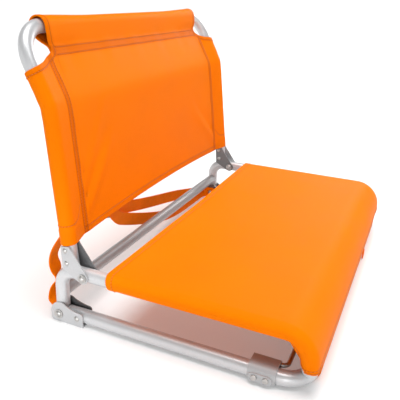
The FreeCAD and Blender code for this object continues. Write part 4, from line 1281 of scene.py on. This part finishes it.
class SEAT_OT_lacing(bpy.types.Operator):
    """Lace the seat's flaps together below"""
    bl_idname = "stadium_seat.lacing"
    bl_label = "Lacing"

    def execute(self, context):
        cords = context.scene.seat_cords
        y = LACE_ROWS[0]
        rear = [(-LACE_END_X, y, LACE_ABOVE), (-EYELET_X, y, LACE_ABOVE), (-EYELET_X, y, LACE_BELOW),
                (EYELET_X, y, LACE_BELOW), (EYELET_X, y, LACE_ABOVE), (LACE_END_X, y, LACE_ABOVE)]
        zigzag = lace_strand(-1, LACE_BELOW) + lace_strand(1, LACE_LOWER)[::-1]
        braid = cord_finish("lace_braid", tuple(context.scene.seat_colours.lace), 0.0012)
        for name, node, route in (("rear_lace_cord", "rear_lace", rear),
                                  ("seat_lace_cord", "seat_lace", zigzag)):
            line = spline_points([tuple(c * MM for c in p) for p in route], 12) / MM
            piece = tube_object(name, line, cords.lace / MM / 2)
            dress(piece, braid, "base", node)
        return {"FINISHED"}


class SEAT_OT_front_tab(bpy.types.Operator):
    """Sew the small folded tab on the front hem"""
    bl_idname = "stadium_seat.front_tab"
    bl_label = "Front tab"

    def execute(self, context):
        low, high = [Vector(c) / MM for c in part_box("front_tab")]
        rows = 22
        columns = np.linspace(low.x + 0.3, high.x - 0.3, 9)
        front, rear = low.y + 0.35, high.y - 0.35
        bottom, top = low.z + 0.9, high.z - 0.3
        fold = np.linspace(0.0, math.pi, 9)
        bow = (rear - front) / 2
        line = [(rear, top)] + [(rear, z) for z in np.linspace(top, bottom, 6)[1:]]
        line += [((front + rear) / 2 + bow * math.cos(a), bottom - bow * math.sin(a))
                 for a in fold[1:-1]]
        line += [(front, z) for z in np.linspace(bottom, top, 6)]
        run = Line(line, step=0.1)
        marks = np.linspace(0.0, run.length, rows)
        spots = run.at(marks)
        places = np.array([(x, y, z) for x in columns for y, z in spots])
        ids = np.arange(len(places)).reshape(len(columns), rows)
        flat = np.array([(x, m) for x in columns for m in marks])
        thick = np.full(len(places), 0.3)
        piece = cloth_object("front_tab_cloth", places, grid_cells(ids), flat, thick, thick, {})
        dress(piece, webbing_finish("strap_webbing_ribbed"), "base", "front_tab")
        return {"FINISHED"}


class SEAT_OT_frame_finish(bpy.types.Operator):
    """Give every metal and plastic piece of the frame its finish"""
    bl_idname = "stadium_seat.frame_finish"
    bl_label = "Frame finish"

    def execute(self, context):
        colours = context.scene.seat_colours
        paint, steel, plastic = tuple(colours.paint), tuple(colours.steel), tuple(colours.plastic)
        sheet = tinted(paint, 0.95)
        nickel, grey = (0.72, 0.70, 0.66), (0.60, 0.60, 0.60)
        rivets = ("clamp_screws", "lower_rivets", "lower_washers", "rail_rivets", "hinge_rivets",
                  "hinge_pivots", "hinge_washers")
        turned = (500.0, 90.0, 90.0)
        drawn = (2600.0, 2600.0, 2600.0)
        stamped = (600.0, 600.0, 80.0)
        for material, nodes, pairs in (
                (paint_finish("tube_paint", tinted(paint, 1.08), 0.4, 0.36),
                 ("base_frame", "back_frame"), ("seat_side_tube",)),
                (paint_finish("plate_paint_worn", sheet, 0.5, 0.36), (), ("hinge_plate_outer",)),
                # The inner hinge plates get a dark copy of the paint: painted shade where the uprights
                # and outer plates shade them.
                (paint_finish("plate_paint_inner", tinted(paint, 0.3), 0.2, 0.42),
                 (), ("hinge_plate_inner",)),
                # The lower brackets' paint carries painted shade on their inside.
                (paint_finish("bracket_paint", sheet, 0.5, 0.36, BRACKET_SHADE_REACH), (), ("lower_bracket",)),
                (paint_finish("clamp_paint", tinted(paint, 0.8), 0.15, 0.5), (), ("hook_clamp",)),
                # The rear cross bar gets a darker copy of the paint: painted shade from the seat and
                # backrest above it.
                (paint_finish("cross_bar_paint", tinted(paint, 0.7), 0.35, 0.4),
                 ("rear_cross_bar",), ()),
                (steel_finish("rivet_steel_turned", tinted(steel, 0.85), 0.42, turned), rivets, ()),
                (steel_finish("wire_steel_drawn", tinted(steel, 0.8), 0.3, drawn), (), ("hook_wire",)),
                (steel_finish("eyelet_nickel", nickel, 0.22, stamped), ("lace_eyelets",), ()),
                (plastic_finish("plug_moulded", plastic, 0.42),
                 ("strap_slider",), ("leg_plug", "upright_plug")),
                (plastic_finish("tip_moulded", grey, 0.38), (), ("hook_tip",))):
            for node in (*nodes, *(f"{pair}_{side}" for pair in pairs for side in ("left", "right"))):
                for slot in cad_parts[node].material_slots:
                    slot.material = material
        return {"FINISHED"}


def add_lamp(name, kind, power, place=(0.0, 0.0, 0.0), aim=None):
    """Add a light that looks at a spot, or straight down."""
    light = bpy.data.lights.new(name, kind)
    light.energy = power
    lamp = bpy.data.objects.new(name, light)
    bpy.context.scene.collection.objects.link(lamp)
    lamp.location = place
    if aim is not None:
        lamp.rotation_euler = (Vector(aim) - Vector(place)).to_track_quat("-Z", "Y").to_euler()
    return light


def photo_camera():
    """Add the camera that was fitted to the photo."""
    azimuth, elevation, roll = (math.radians(a) for a in CAMERA_TURN)
    back = Vector((math.sin(azimuth) * math.cos(elevation), -math.cos(azimuth) * math.cos(elevation),
                   math.sin(elevation)))
    right = Vector((math.cos(azimuth), math.sin(azimuth), 0.0))
    up = back.cross(right)
    level = right * math.cos(roll) + up * math.sin(roll)
    tilt = up * math.cos(roll) - right * math.sin(roll)
    lens = bpy.data.cameras.new("photo_camera")
    lens.sensor_width = 36.0
    lens.lens = CAMERA_LENS
    lens.shift_x, lens.shift_y = CAMERA_SHIFT
    lens.clip_start = 0.02
    camera = bpy.data.objects.new("photo_camera", lens)
    bpy.context.scene.collection.objects.link(camera)
    turn = Matrix((level, tilt, back)).transposed().to_4x4()
    camera.matrix_world = Matrix.Translation(CAMERA_PLACE) @ turn
    bpy.context.scene.camera = camera


class SEAT_OT_stage(bpy.types.Operator):
    """Set the pale floor, the soft lights and the camera"""
    bl_idname = "stadium_seat.stage"
    bl_label = "Stage"

    def execute(self, context):
        bpy.ops.object.select_all(action="DESELECT")
        bpy.ops.mesh.primitive_grid_add(x_subdivisions=60, y_subdivisions=60, size=FLOOR_SIZE)
        floor = context.object
        floor.name = "studio_floor"
        for spot in floor.data.vertices:
            spot.co.z = FLOOR_RISE * max(spot.co.xy.length - FLOOR_FLAT, 0.0) ** 2
        floor.data.polygons.foreach_set("use_smooth", [True] * len(floor.data.polygons))
        tint = tuple(context.scene.seat_colours.floor)
        floor.data.materials.append(floor_finish("studio_floor", tint))

        world = bpy.data.worlds.new("studio")
        context.scene.world = world
        world.use_nodes = True
        sky = world.node_tree.nodes["Background"].inputs
        sky["Color"].default_value = (1.0, 1.0, 1.0, 1.0)
        sky["Strength"].default_value = SKY_POWER
        context.scene.view_settings.view_transform = "Standard"
        for name, place, aim, size, power in SOFTBOXES:
            light = add_lamp(name, "AREA", power, place, aim)
            light.shape = "DISK"
            light.size = size
        spot = add_lamp("strap_spot", "SPOT", SPOT_POWER, SPOT_PLACE, SPOT_AIM)
        spot.spot_size = math.radians(SPOT_ANGLE)
        spot.spot_blend = 1.0
        spot.shadow_soft_size = SPOT_SIZE
        add_lamp("overhead", "SUN", SUN_POWER).angle = math.radians(SUN_ANGLE)
        photo_camera()
        return {"FINISHED"}


STEPS = (SEAT_OT_stage, SEAT_OT_carry_strap, SEAT_OT_frame_finish, SEAT_OT_back_cover,
         SEAT_OT_seat_cover, SEAT_OT_lacing, SEAT_OT_front_tab)


class SEAT_PT_panel(bpy.types.Panel):
    """The stadium seat's pieces, sizes and colours"""
    bl_idname = "SEAT_PT_panel"
    bl_label = "Stadium seat"
    bl_space_type = "VIEW_3D"
    bl_region_type = "UI"
    bl_category = "Stadium seat"

    def draw(self, context):
        layout = self.layout
        for step in STEPS:
            layout.operator(step.bl_idname)
        scene = context.scene
        for group in (scene.seat_cloth, scene.seat_cords, scene.seat_colours):
            box = layout.box()
            for key in group.bl_rna.properties.keys():
                if key not in ("rna_type", "name"):
                    box.prop(group, key)


CLASSES = (SeatCloth, SeatCords, SeatColours, *STEPS, SEAT_PT_panel)


def register():
    for cls in CLASSES:
        bpy.utils.register_class(cls)
    bpy.types.Scene.seat_cloth = PointerProperty(type=SeatCloth)
    bpy.types.Scene.seat_cords = PointerProperty(type=SeatCords)
    bpy.types.Scene.seat_colours = PointerProperty(type=SeatColours)


def unregister():
    del bpy.types.Scene.seat_colours
    del bpy.types.Scene.seat_cords
    del bpy.types.Scene.seat_cloth
    for cls in reversed(CLASSES):
        bpy.utils.unregister_class(cls)


def main():
    register()
    bpy.ops.stadium_seat.stage()
    bpy.ops.stadium_seat.carry_strap()
    bpy.ops.stadium_seat.frame_finish()
    bpy.ops.stadium_seat.back_cover()
    bpy.ops.stadium_seat.seat_cover()
    bpy.ops.stadium_seat.lacing()
    bpy.ops.stadium_seat.front_tab()
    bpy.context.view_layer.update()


if __name__ == "__main__":
    main()
